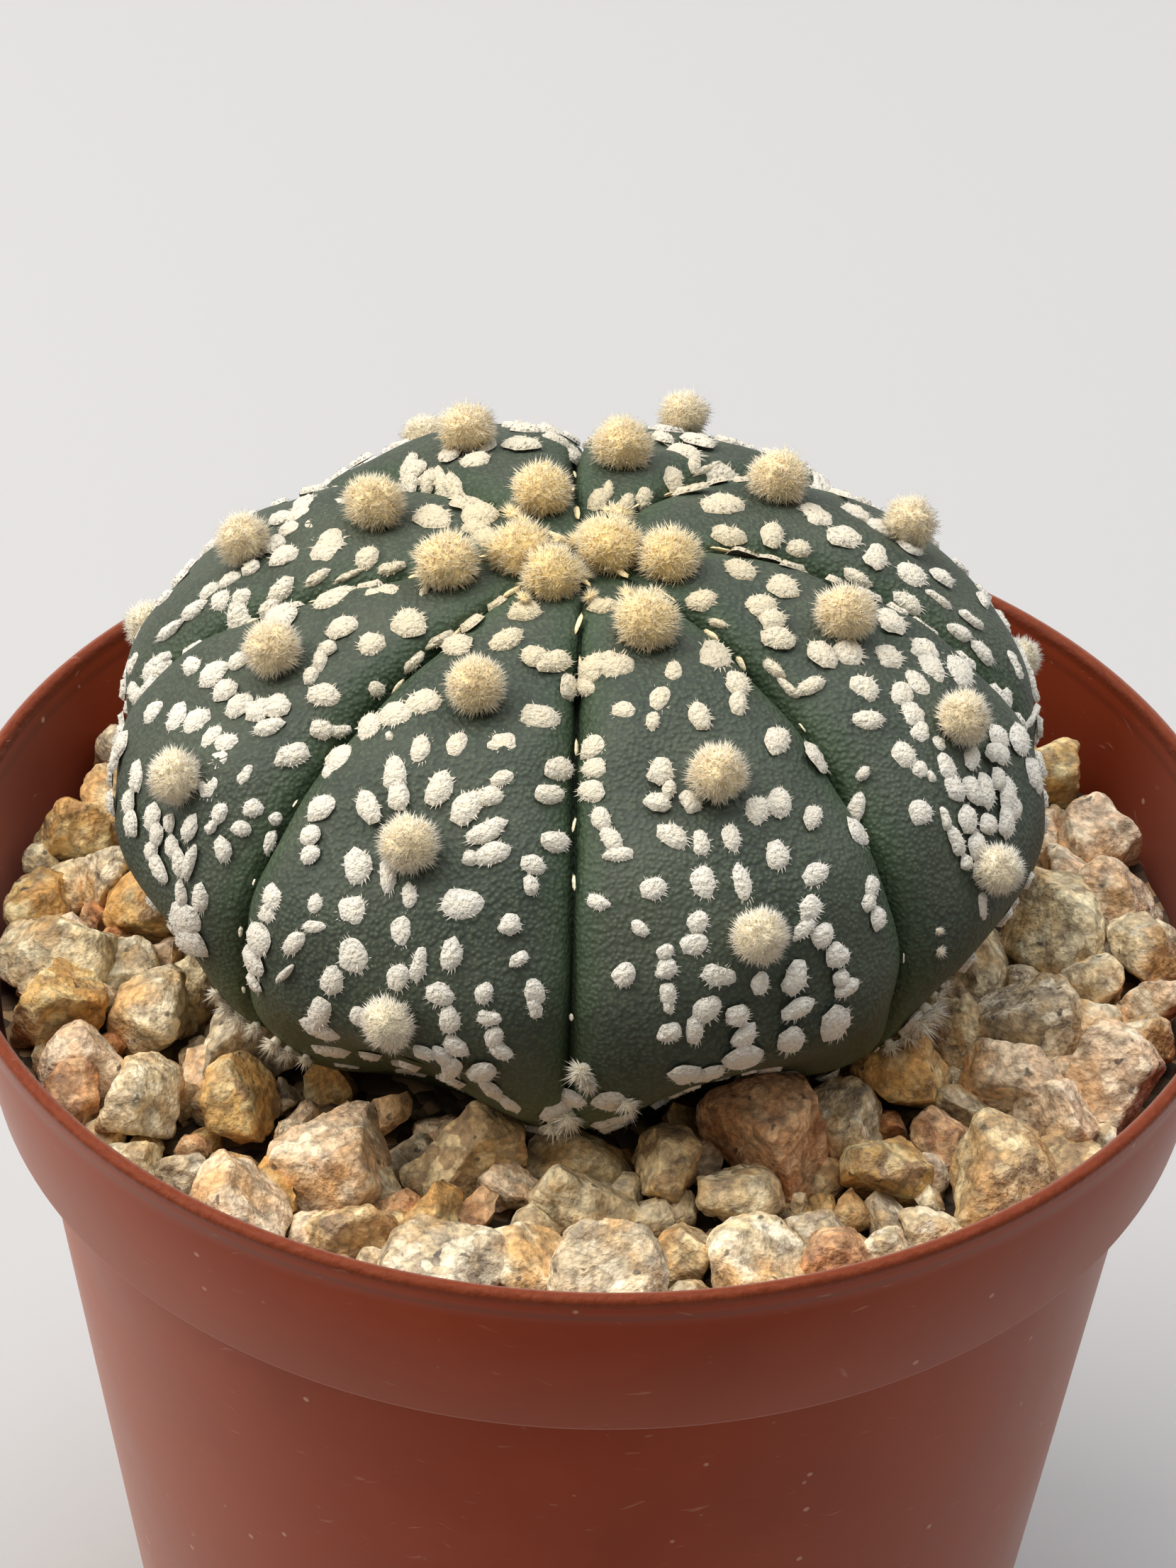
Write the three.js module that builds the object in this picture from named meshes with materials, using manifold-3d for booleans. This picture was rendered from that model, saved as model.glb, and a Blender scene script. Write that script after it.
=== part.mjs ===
// Potted super kabuto star cactus: a round nursery pot, its potting mix, a gravel top dressing
// and a low eight-ribbed cactus with woolly areoles. Millimetres, +Z up, origin at the middle
// of the pot's base. The camera of the photograph looks along +Y, so -Y is the front.

import * as THREE from 'three';
import { mergeVertices } from 'three/addons/utils/BufferGeometryUtils.js';
import Module from 'manifold-3d';

const wasm = await Module();
wasm.setup();

// Driving dimensions of the pot
const POT_HEIGHT = 58;
const RIM_RADIUS = 32.5;
const POT_WALL = 0.8;
const RIM_ROUND = 0.3;
const BAND_HEIGHT = 10;
const BAND_FOOT_RADIUS = 30.5;
const BODY_TOP_RADIUS = 28.8;
const BASE_RADIUS = 22.5;
const BASE_THICKNESS = 1;
const BASE_ROUND = 0.6;
const DRAIN_HOLES = 6;
const DRAIN_RADIUS = 2.4;
const DRAIN_CIRCLE = 14;
const DRAIN_SIDES = 10;
const POT_SEGMENTS = 48;
const CLEARANCE = 0.3;

// Driving dimensions of the cactus, measured from the top of the rim and from its own axis
const PLANT_X = -1;
const PLANT_Y = 2.4;
const PLANT_RADIUS = 23.5;
const EQUATOR = POT_HEIGHT + 4.3;
const DOME_HEIGHT = 12.7;
const DOME_POWER = 2.15;
const CROWN_DIP = 0.7;
const CROWN_DIP_RADIUS = 3;
const UNDERSIDE_DEPTH = 13.1;
const NECK_RADIUS = 5.5;
const ROOT_LENGTH = 26;
const ROOT_TIP_RADIUS = 1.1;
const RIBS = 8;
const FURROW_DEPTH = 1.5;
const FURROW_SHARPNESS = 5;
const FURROW_BEGINS = [1, 13];
const FURROW_EASES = [30, 36];
const FURROW_ENDS = 38;
const TUCK = 3.2;
const TUCK_BEGINS = 7;
const TUCK_ENDS = 5;

// How far each furrow turns from its even place at the crown, in degrees, from the front left
const FURROW_TWIST = [-4, -1, 7, 15, 17, 5, -2, 4];
const TWIST_START = 6;
const TWIST_END = 24;
const FIRST_FURROW = -135;

// Woolly areoles: how far from the crown they sit on each rib, from the front left rib round
const AREOLES = [
  [11.7, 20.2, 28.2],
  [7, 16.3, 23.9],
  [4.2, 13, 20.1, 26.2],
  [12.3, 18.3, 26],
  [9.4, 18.9, 26.5],
  [4.9, 13.7, 24.1],
  [11.1, 17.6, 25],
  [6.8, 16, 23.1],
];
const CROWN_TUFTS = [
  { distance: 3.1, azimuth: -119 },
  { distance: 3.2, azimuth: -167 },
  { distance: 1.2, azimuth: 1 },
];
const AREOLE_RADIUS = 1.75;
const AREOLE_SHRINK = 0.016;
const AREOLE_LIFT = 0.55;
const TUFT_HOLLOW = 0.86;
const SAME_POINT = 0.01;

// White flecks on the skin
const FLECK_START = 5;
const FLECK_END = 33;
const FLECK_TRIES = 80;
const FLECK_SPACING = 3.1;
const FLECK_LENGTH = [2, 2.9];
const FLECK_WIDTH = [1.4, 1.9];
const FLECK_HEIGHT = 0.9;
const FLECK_PROUD = 0.38;
const FLECK_TOP = 0.7;
const FLECK_SIDES = 5;
const FLECK_TURN = 0.5;
const FLECK_SEED = 4111;
const FURROW_MARGIN = 1;
const AREOLE_MARGIN = 1;

// Gravel top dressing
const BED_TOP = POT_HEIGHT - 6.5;
const STONE_SIZES = [2.9, 2.5, 2.1, 1.7];
const STONE_TRIES = 320;
const STONE_OVERLAP = 0.7;
const STONE_STAND = 0.6;
const PLANT_MARGIN = 0.4;
const STONE_RISE = 0.9;
const WALL_LEAN = 1.3;
const WALL_REACH = 1.16;
const STONE_SEED = 9203;
const STONE_CORNERS = [0.9, 1.16];
const STONE_BREADTH = [0.82, 1];
const STONE_THICKNESS = [0.76, 0.95];
const STONE_INNER = 16;
const FOOT_RADIUS = 18.5;

// The larger stones that lie in sight in front of and beside the cactus, as x, y and size
const LARGE_STONES = [
  [-5.6, -17.5, 2.7],
  [-12.2, -18.6, 2.9],
  [-16.7, -14.5, 2.2],
  [-21.3, -15, 2.5],
  [-0.1, -21.4, 2.6],
  [-2.6, -25.4, 2.4],
  [3.8, -18.4, 2.1],
  [9, -16.2, 3.3],
  [15.6, -10.9, 2.7],
  [14.6, -17.9, 2.3],
  [23, -13.5, 2.3],
  [21.3, -6.8, 2.9],
  [19.4, -18.9, 3.1],
  [4.6, -24.4, 2.1],
  [10.8, -22.3, 1.8],
  [17.3, -15, 1.6],
  [14.4, -24.4, 1.7],
  [-10.9, -23.6, 2.1],
  [-7.2, -22, 1.8],
  [26.4, 3.2, 2.6],
  [25.2, -2.6, 2.1],
  [25.6, 15.3, 2.4],
  [28.1, 9.4, 2.4],
  [-27.1, 6.5, 2.1],
  [-28.2, 1.2, 2],
  [-24.8, 3.3, 2.2],
  [-21.4, -7.9, 2.5],
  [-24.5, -11.3, 2.2],
  [-18.9, -19.6, 1.7],
  [-23.6, -3.6, 1.9],
  [26.8, -7.6, 2],
];

// Helpers for ranges, random draws and solids
const radians = THREE.MathUtils.degToRad;
const smooth = THREE.MathUtils.smoothstep;
const mix = THREE.MathUtils.lerp;

function randomFrom(seed) {
  let state = seed;
  return () => {
    state = (state * 16807) % 2147483647;
    return state / 2147483647;
  };
}

function solidOf(geometry) {
  const bare = geometry.clone();
  bare.deleteAttribute('normal');
  bare.deleteAttribute('uv');
  const merged = mergeVertices(bare, 1e-4);
  const corners = merged.index.array;
  const faces = [];
  for (let i = 0; i < corners.length; i += 3) {
    const [a, b, c] = corners.slice(i, i + 3);
    if (a !== b && b !== c && c !== a) faces.push(a, b, c);
  }
  const vertProperties = new Float32Array(merged.attributes.position.array);
  const triVerts = new Uint32Array(faces);
  return new wasm.Manifold(new wasm.Mesh({ numProp: 3, vertProperties, triVerts }));
}

function geometryOf(solid) {
  const { vertProperties, triVerts } = solid.getMesh();
  const geometry = new THREE.BufferGeometry();
  geometry.setAttribute('position', new THREE.BufferAttribute(vertProperties, 3));
  geometry.setIndex(new THREE.BufferAttribute(triVerts, 1));
  geometry.computeVertexNormals();
  return geometry;
}

function joined(solids) {
  let layer = solids;
  while (layer.length > 1) {
    const next = [];
    for (let i = 0; i < layer.length; i += 2) {
      next.push(i + 1 < layer.length ? layer[i].add(layer[i + 1]) : layer[i]);
    }
    layer = next;
  }
  return layer[0];
}

// Keeps the main body of a solid and drops any crumb that a cut left loose
function mainBody(solid) {
  const bodies = solid.decompose();
  return bodies.reduce((best, body) => (body.volume() > best.volume() ? body : best));
}

function turned(profile, segments) {
  const points = profile.map(([radius, height]) => new THREE.Vector2(radius, height));
  return new THREE.LatheGeometry(points, segments).rotateX(Math.PI / 2);
}

function named(name, geometry, color, roughness) {
  const material = new THREE.MeshStandardMaterial({ color, roughness, metalness: 0 });
  const mesh = new THREE.Mesh(geometry, material);
  mesh.name = name;
  return mesh;
}

// Pot wall: the inside radius at a height, in the band and in the body below it
const BAND_FOOT = POT_HEIGHT - BAND_HEIGHT;
const SHELF = BAND_FOOT + POT_WALL;

function bandInside(height) {
  const along = (height - BAND_FOOT) / BAND_HEIGHT;
  return mix(BAND_FOOT_RADIUS, RIM_RADIUS, along) - POT_WALL;
}

function bodyInside(height) {
  return mix(BASE_RADIUS, BODY_TOP_RADIUS, height / BAND_FOOT) - POT_WALL;
}

function makePot() {
  const profile = [
    [0, 0],
    [BASE_RADIUS - BASE_ROUND, 0],
    [BASE_RADIUS, BASE_ROUND],
    [BODY_TOP_RADIUS, BAND_FOOT],
    [BAND_FOOT_RADIUS - RIM_ROUND, BAND_FOOT],
    [BAND_FOOT_RADIUS, BAND_FOOT + RIM_ROUND],
    [RIM_RADIUS, POT_HEIGHT - RIM_ROUND],
    [RIM_RADIUS - RIM_ROUND, POT_HEIGHT],
    [RIM_RADIUS - POT_WALL, POT_HEIGHT - RIM_ROUND],
    [bandInside(SHELF), SHELF],
    [bodyInside(SHELF), SHELF],
    [bodyInside(BASE_THICKNESS), BASE_THICKNESS],
    [0, BASE_THICKNESS],
  ];
  let pot = solidOf(turned(profile, POT_SEGMENTS));
  for (let i = 0; i < DRAIN_HOLES; i += 1) {
    const angle = (i + 0.5) * (2 * Math.PI / DRAIN_HOLES);
    const drill = new THREE.CylinderGeometry(DRAIN_RADIUS, DRAIN_RADIUS, 3 * BASE_THICKNESS, DRAIN_SIDES);
    drill.rotateX(Math.PI / 2);
    drill.translate(DRAIN_CIRCLE * Math.cos(angle), DRAIN_CIRCLE * Math.sin(angle), 0);
    pot = pot.subtract(solidOf(drill));
  }
  return geometryOf(pot);
}

// Meridian of the cactus from the crown over the shoulder to the neck and down the taproot
const NECK_HEIGHT = EQUATOR - UNDERSIDE_DEPTH;
const ROOT_TIP = NECK_HEIGHT - ROOT_LENGTH;
const FINE_STEPS = 200;

function meridianPoints() {
  const points = [];
  for (let i = 0; i <= FINE_STEPS; i += 1) {
    const angle = (i / FINE_STEPS) * Math.PI / 2;
    const radius = PLANT_RADIUS * Math.sin(angle) ** (2 / DOME_POWER);
    const dip = CROWN_DIP * Math.exp(-((radius / CROWN_DIP_RADIUS) ** 2));
    const rise = DOME_HEIGHT * Math.abs(Math.cos(angle)) ** (2 / DOME_POWER);
    points.push({ radius, height: EQUATOR + rise - dip });
  }
  for (let i = 1; i <= FINE_STEPS; i += 1) {
    const angle = (i / FINE_STEPS) * Math.PI / 2;
    const radius = NECK_RADIUS + (PLANT_RADIUS - NECK_RADIUS) * Math.cos(angle);
    points.push({ radius, height: EQUATOR - UNDERSIDE_DEPTH * Math.sin(angle) });
  }
  points[0].distance = 0;
  for (let i = 1; i < points.length; i += 1) {
    const stepOut = points[i].radius - points[i - 1].radius;
    const stepUp = points[i].height - points[i - 1].height;
    points[i].distance = points[i - 1].distance + Math.hypot(stepOut, stepUp);
  }
  return points;
}

const MERIDIAN = meridianPoints();
const NECK_DISTANCE = MERIDIAN[MERIDIAN.length - 1].distance;

function meridianAt(distance) {
  let i = 1;
  while (i < MERIDIAN.length - 1 && MERIDIAN[i].distance < distance) i += 1;
  const [from, to] = [MERIDIAN[i - 1], MERIDIAN[i]];
  const share = (distance - from.distance) / (to.distance - from.distance);
  const out = to.radius - from.radius;
  const up = to.height - from.height;
  const length = Math.hypot(out, up);
  return {
    radius: mix(from.radius, to.radius, share),
    height: mix(from.height, to.height, share),
    normalOut: -up / length,
    normalUp: out / length,
  };
}

function furrowAzimuth(furrow, distance) {
  const turns = Math.floor(furrow / RIBS);
  const twist = FURROW_TWIST[furrow - turns * RIBS] * (1 - smooth(distance, TWIST_START, TWIST_END));
  return radians(FIRST_FURROW + furrow * (360 / RIBS) + twist);
}

function furrowDepth(distance) {
  const begins = smooth(distance, ...FURROW_BEGINS);
  const eases = 1 - 0.5 * smooth(distance, ...FURROW_EASES);
  const ends = 1 - smooth(distance, FURROW_ENDS, NECK_DISTANCE);
  return FURROW_DEPTH * begins * eases * ends;
}

// A point on the skin of a rib: across runs from -1 at one furrow to 1 at the next
function skin(rib, across, distance, lift = 0) {
  const place = meridianAt(distance);
  const left = furrowAzimuth(rib, distance);
  const right = furrowAzimuth(rib + 1, distance);
  const azimuth = mix(left, right, (across + 1) / 2);
  const relief = lift - furrowDepth(distance) * Math.abs(across) ** FURROW_SHARPNESS;
  const underShoulder = smooth(EQUATOR - place.height, 0, TUCK_BEGINS);
  const aboveNeck = smooth(place.height - NECK_HEIGHT, 0, TUCK_ENDS);
  const tuck = TUCK * underShoulder * aboveNeck * (1 - across * across) ** 2;
  const radius = place.radius + place.normalOut * relief - tuck;
  return new THREE.Vector3(
    PLANT_X + radius * Math.cos(azimuth),
    PLANT_Y + radius * Math.sin(azimuth),
    place.height + place.normalUp * relief,
  );
}

function ribHalfWidth(rib, distance) {
  const span = furrowAzimuth(rib + 1, distance) - furrowAzimuth(rib, distance);
  return meridianAt(distance).radius * span / 2;
}

// Local axes of the skin: down the rib, straight out and across
function skinFrame(rib, across, distance) {
  const step = 0.05;
  const here = skin(rib, across, distance);
  const down = skin(rib, across, distance + step).sub(here).normalize();
  const side = skin(rib, across + step, distance).sub(here).normalize();
  const out = new THREE.Vector3().crossVectors(down, side).normalize();
  const over = new THREE.Vector3().crossVectors(down, out);
  return { here, down, out, over };
}

// Ribbed body with its taproot. A positive swell gives the room that it needs in the gravel
const COLUMNS_ACROSS = [-1, -0.84, -0.52, -0.18, 0.18, 0.52, 0.84];
const BODY_ROWS = 17;
const ROOT_ROWS = 3;

function rootRows(swell) {
  const rows = [[0, ROOT_TIP - ROOT_TIP_RADIUS - swell]];
  for (let row = 0; row < ROOT_ROWS; row += 1) {
    const along = row / ROOT_ROWS;
    rows.push([mix(ROOT_TIP_RADIUS, NECK_RADIUS, along) + swell, mix(ROOT_TIP, NECK_HEIGHT, along)]);
  }
  return rows;
}

function plantBody(swell) {
  const columns = RIBS * COLUMNS_ACROSS.length;
  const profile = rootRows(swell);
  const firstRow = profile.length;
  const distanceOf = (row) => NECK_DISTANCE * (1 - (row - firstRow) / BODY_ROWS);
  for (let row = firstRow; row < firstRow + BODY_ROWS; row += 1) {
    profile.push([meridianAt(distanceOf(row)).radius, meridianAt(distanceOf(row)).height]);
  }
  profile.push([0, MERIDIAN[0].height + swell]);
  const body = turned(profile, columns);
  const position = body.attributes.position;
  const point = new THREE.Vector3();
  for (let column = 0; column <= columns; column += 1) {
    const rib = Math.floor((column % columns) / COLUMNS_ACROSS.length);
    const across = COLUMNS_ACROSS[column % COLUMNS_ACROSS.length];
    const left = furrowAzimuth(rib, NECK_DISTANCE);
    const azimuth = mix(left, furrowAzimuth(rib + 1, NECK_DISTANCE), (across + 1) / 2);
    for (let row = 0; row < profile.length; row += 1) {
      const [radius, height] = profile[row];
      if (row >= firstRow && row < firstRow + BODY_ROWS) {
        point.copy(skin(rib, across, distanceOf(row), swell));
      } else {
        point.set(PLANT_X + radius * Math.cos(azimuth), PLANT_Y + radius * Math.sin(azimuth), height);
      }
      position.setXYZ(column * profile.length + row, point.x, point.y, point.z);
    }
  }
  return solidOf(body);
}

// Woolly tuft: a burr of short wool, its ridges standing out past the hollows between them
function tuft(centre, size, random) {
  const ball = new THREE.IcosahedronGeometry(1, 1);
  const position = ball.attributes.position;
  const corner = new THREE.Vector3();
  const points = new THREE.IcosahedronGeometry(1, 0).attributes.position;
  const tip = new THREE.Vector3();
  for (let i = 0; i < position.count; i += 1) {
    corner.fromBufferAttribute(position, i);
    let nearest = 2;
    for (let j = 0; j < points.count; j += 1) {
      nearest = Math.min(nearest, tip.fromBufferAttribute(points, j).distanceTo(corner));
    }
    corner.setLength(nearest < SAME_POINT ? size : size * TUFT_HOLLOW);
    position.setXYZ(i, corner.x, corner.y, corner.z);
  }
  ball.rotateX(random() * Math.PI);
  ball.rotateZ(random() * Math.PI);
  ball.translate(centre.x, centre.y, centre.z);
  return solidOf(ball);
}

function areoleSize(distance) {
  return AREOLE_RADIUS - AREOLE_SHRINK * distance;
}

function makeAreoles(random) {
  const tufts = [];
  AREOLES.forEach((distances, rib) => {
    for (const distance of distances) {
      const size = areoleSize(distance);
      tufts.push(tuft(skin(rib, 0, distance, size * AREOLE_LIFT), size, random));
    }
  });
  for (const { distance, azimuth } of CROWN_TUFTS) {
    const place = meridianAt(distance);
    const size = areoleSize(distance);
    const centre = new THREE.Vector3(
      PLANT_X + place.radius * Math.cos(radians(azimuth)),
      PLANT_Y + place.radius * Math.sin(radians(azimuth)),
      place.height + size * AREOLE_LIFT,
    );
    tufts.push(tuft(centre, size, random));
  }
  return tufts;
}

// White flecks: five-sided pads strewn over each rib, clear of its furrows and its areoles
function flecksOnRib(rib, random) {
  const placed = [];
  for (let i = 0; i < FLECK_TRIES; i += 1) {
    const distance = mix(FLECK_START, FLECK_END, random());
    const sideways = 2 * random() - 1;
    const halfWidth = ribHalfWidth(rib, distance);
    const across = sideways * (1 - FURROW_MARGIN / halfWidth);
    const offset = across * halfWidth;
    const clearOfAreoles = AREOLES[rib].every(
      (areole) => Math.hypot(areole - distance, offset) > areoleSize(areole) + AREOLE_MARGIN,
    );
    const clearOfFlecks = placed.every(
      (other) => Math.hypot(other.distance - distance, other.offset - offset) > FLECK_SPACING,
    );
    if (halfWidth > 2 * FURROW_MARGIN && clearOfAreoles && clearOfFlecks) {
      placed.push({ distance, across, offset });
    }
  }
  return placed.map(({ distance, across }) => {
    const { here, down, out, over } = skinFrame(rib, across, distance);
    const length = mix(...FLECK_LENGTH, random()) / 2;
    const width = mix(...FLECK_WIDTH, random()) / 2;
    const turn = FLECK_TURN * (2 * random() - 1);
    const pad = new THREE.CylinderGeometry(FLECK_TOP, 1, FLECK_HEIGHT, FLECK_SIDES);
    pad.rotateY(turn);
    pad.scale(length, 1, width);
    pad.translate(0, FLECK_PROUD - FLECK_HEIGHT / 2, 0);
    pad.applyMatrix4(new THREE.Matrix4().makeBasis(down, out, over).setPosition(here));
    return solidOf(pad);
  });
}

function makeCactus() {
  const random = randomFrom(FLECK_SEED);
  const pieces = makeAreoles(random);
  for (let rib = 0; rib < RIBS; rib += 1) {
    pieces.push(...flecksOnRib(rib, random));
  }
  return geometryOf(mainBody(plantBody(0).add(joined(pieces))));
}

// Potting mix: fills the pot up to the shelf under the band, with a plain hole for the taproot
const SOIL_TOP = BAND_FOOT + CLEARANCE;

function makeSoil() {
  const floor = BASE_THICKNESS + CLEARANCE;
  const profile = [
    [0, floor],
    [bodyInside(floor) - CLEARANCE, floor],
    [bodyInside(SOIL_TOP) - CLEARANCE, SOIL_TOP],
    [0, SOIL_TOP],
  ];
  return geometryOf(solidOf(turned(profile, POT_SEGMENTS)).subtract(plantBody(CLEARANCE)));
}

// Gravel: a bed between the cactus and the wall, with angular stones sunk in it
const BED_FLOOR = SOIL_TOP + CLEARANCE;
const BED_LEDGE = SHELF + CLEARANCE;

function stoneAt(azimuth, radius, size, random) {
  const height = BED_TOP + STONE_STAND * size + STONE_RISE * random();
  const reach = Math.min(radius, bandInside(height) - CLEARANCE - size * WALL_REACH);
  return { x: reach * Math.cos(azimuth), y: reach * Math.sin(azimuth), height, size };
}

function stonePlaces(random) {
  const placed = LARGE_STONES.map(([x, y, size]) => {
    return stoneAt(Math.atan2(y, x), Math.hypot(x, y), size, random);
  });
  for (const size of STONE_SIZES) {
    for (let i = 0; i < STONE_TRIES; i += 1) {
      const azimuth = 2 * Math.PI * random();
      const share = Math.min(1, WALL_LEAN * random());
      const radius = Math.sqrt(mix(STONE_INNER ** 2, RIM_RADIUS ** 2, share));
      const next = stoneAt(azimuth, radius, size, random);
      const fromPlant = Math.hypot(next.x - PLANT_X, next.y - PLANT_Y);
      const clear = placed.every(
        (other) => Math.hypot(other.x - next.x, other.y - next.y) > STONE_OVERLAP * (other.size + size),
      );
      if (clear && fromPlant > FOOT_RADIUS + PLANT_MARGIN * size) placed.push(next);
    }
  }
  return placed;
}

function stone({ x, y, height, size }, random) {
  const rock = mergeVertices(bareIcosahedron(), 1e-4);
  const position = rock.attributes.position;
  const corner = new THREE.Vector3();
  for (let i = 0; i < position.count; i += 1) {
    corner.fromBufferAttribute(position, i).setLength(size * mix(...STONE_CORNERS, random()));
    position.setXYZ(i, corner.x, corner.y, corner.z);
  }
  rock.scale(1, mix(...STONE_BREADTH, random()), mix(...STONE_THICKNESS, random()));
  rock.rotateX(Math.PI * random());
  rock.rotateZ(2 * Math.PI * random());
  rock.translate(x, y, height);
  return solidOf(rock);
}

function bareIcosahedron() {
  const ball = new THREE.IcosahedronGeometry(1, 0);
  ball.deleteAttribute('normal');
  ball.deleteAttribute('uv');
  return ball;
}

function makeGravel() {
  const random = randomFrom(STONE_SEED);
  const profile = [
    [0, BED_FLOOR],
    [bodyInside(SOIL_TOP) - CLEARANCE, BED_FLOOR],
    [bodyInside(SOIL_TOP) - CLEARANCE, BED_LEDGE],
    [bandInside(BED_LEDGE) - CLEARANCE, BED_LEDGE],
    [bandInside(BED_TOP) - CLEARANCE, BED_TOP],
    [0, BED_TOP],
  ];
  const bed = solidOf(turned(profile, POT_SEGMENTS));
  const stones = stonePlaces(random).map((place) => stone(place, random));
  return geometryOf(mainBody(bed.add(joined(stones)).subtract(plantBody(CLEARANCE))));
}

// Named parts
const group = new THREE.Group();
group.add(named('pot', makePot(), '#7a3526', 0.45));
group.add(named('soil', makeSoil(), '#3b2c21', 0.95));
group.add(named('gravel', makeGravel(), '#b99a70', 0.85));
group.add(named('cactus', makeCactus(), '#46604a', 0.7));

export default group;
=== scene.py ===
# %% [markdown]
# # Super kabuto star cactus in its pot
#
# A small spineless star cactus sits in a plastic nursery pot, dressed with granite gravel.
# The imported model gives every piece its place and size. This lesson remodels the pot, the
# plant and the gravel more finely round it, and gives each surface the finish of the real one.

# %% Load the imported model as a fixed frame
import math

import bpy
import numpy as np
from mathutils import Matrix, Vector


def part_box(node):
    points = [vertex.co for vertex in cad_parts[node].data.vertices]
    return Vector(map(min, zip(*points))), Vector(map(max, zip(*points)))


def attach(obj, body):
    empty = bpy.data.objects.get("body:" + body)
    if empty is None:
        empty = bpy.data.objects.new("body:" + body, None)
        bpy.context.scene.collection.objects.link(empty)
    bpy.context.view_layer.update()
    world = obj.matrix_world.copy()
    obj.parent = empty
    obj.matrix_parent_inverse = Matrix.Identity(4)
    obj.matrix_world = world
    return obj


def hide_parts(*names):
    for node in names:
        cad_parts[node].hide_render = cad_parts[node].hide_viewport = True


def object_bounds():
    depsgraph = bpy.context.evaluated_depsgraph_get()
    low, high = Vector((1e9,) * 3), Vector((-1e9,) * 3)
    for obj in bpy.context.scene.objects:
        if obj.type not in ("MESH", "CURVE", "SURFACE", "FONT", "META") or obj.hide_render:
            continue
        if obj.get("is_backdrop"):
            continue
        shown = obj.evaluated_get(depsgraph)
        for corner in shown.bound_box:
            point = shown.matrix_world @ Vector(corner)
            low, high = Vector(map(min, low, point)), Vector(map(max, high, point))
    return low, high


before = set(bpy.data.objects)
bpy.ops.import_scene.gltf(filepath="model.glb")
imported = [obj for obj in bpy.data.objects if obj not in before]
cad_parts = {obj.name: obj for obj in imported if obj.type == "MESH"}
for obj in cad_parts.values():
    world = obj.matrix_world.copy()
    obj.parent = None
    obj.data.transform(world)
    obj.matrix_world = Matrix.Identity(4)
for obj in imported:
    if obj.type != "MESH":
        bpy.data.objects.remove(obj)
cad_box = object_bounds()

MM = 0.001
size_mm = [(high - low) / MM for low, high in zip(*cad_box)]
print("packed nodes:", sorted(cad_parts), "box in mm:", [round(side, 2) for side in size_mm])

# %% [markdown]
# ## Small helpers
#
# An operator acts on all that is selected, so every piece starts with nothing selected.
# Lengths are written in millimetres, as on a drawing, and multiplied by MM where they are used.


# %% Selecting
def start_clean():
    if bpy.context.object and bpy.context.object.mode != "OBJECT":
        bpy.ops.object.mode_set(mode="OBJECT")
    bpy.ops.object.select_all(action="DESELECT")


def pick(part, kind, wanted):
    """In edit mode, selects only the vertices, edges or faces for which wanted is true."""
    bpy.ops.mesh.select_mode(type=kind)
    bpy.ops.mesh.select_all(action="DESELECT")
    bpy.ops.object.mode_set(mode="OBJECT")
    mesh = part.data
    chosen = 0
    elements = {"VERT": mesh.vertices, "EDGE": mesh.edges, "FACE": mesh.polygons}[kind]
    for element in elements:
        if kind == "VERT":
            corners = [element.co]
        else:
            corners = [mesh.vertices[i].co for i in element.vertices]
        element.select = all(wanted(corner / MM) for corner in corners)
        chosen += element.select
    bpy.ops.object.mode_set(mode="EDIT")
    return chosen


# %% Blending and drawing numbers
def mix(low, high, share):
    return low + (high - low) * share


def smooth(value, start, end):
    share = np.clip((value - start) / (end - start), 0, 1)
    return share * share * (3 - 2 * share)


def unit(vector):
    return vector / np.linalg.norm(vector)


def chance(seed):
    """Gives a function that draws repeatable numbers between low and high."""
    state = seed

    def draw(low=0.0, high=1.0):
        nonlocal state
        state = state * 16807 % 2147483647
        return mix(low, high, state / 2147483647)

    return draw


def one_of(items, draw):
    """Draws one of the items."""
    return items[int(draw(0, len(items) - 0.01))]


trial = chance(1)
print("three draws of seed 1:", [round(trial(), 5) for _ in range(3)])


# %% Modifiers and their textures
def modify(piece, kind, **settings):
    """Adds a modifier with its settings to the active piece, and applies it."""
    modifier = piece.modifiers.new(kind, kind)
    for name, value in settings.items():
        setattr(modifier, name, value)
    bpy.ops.object.modifier_apply(modifier=modifier.name)


def solid_texture(kind, size):
    """A texture for the relief of a surface."""
    texture = bpy.data.textures.new(kind, kind)
    texture.noise_scale = size
    return texture


# %% [markdown]
# ## Nodes and colours
#
# Colours are read as sRGB hex values, and the shader wants them linear. One helper adds a
# node and gives back its first output in use, or the one named out, so that a material reads
# as a short list. Plain inputs go in order into the sockets in use: a map range takes its
# value, then from and to of what it reads, then from and to of what it gives.


# %% Colours, nodes and the sizes of patterns
def linear(hex_colour):
    channels = [int(hex_colour[i : i + 2], 16) / 255 for i in (1, 3, 5)]
    curve = [c / 12.92 if c <= 0.04045 else ((c + 0.055) / 1.055) ** 2.4 for c in channels]
    return (*curve, 1.0)


def set_inputs(node, **inputs):
    """Links each named socket to another, or gives it a value. An _ stands for a space."""
    for name, source in inputs.items():
        fill(node.inputs[name.replace("_", " ")], source)


def fill(socket, source):
    if isinstance(source, bpy.types.NodeSocket):
        socket.id_data.links.new(source, socket)
    else:
        socket.default_value = linear(source) if isinstance(source, str) else source


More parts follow.
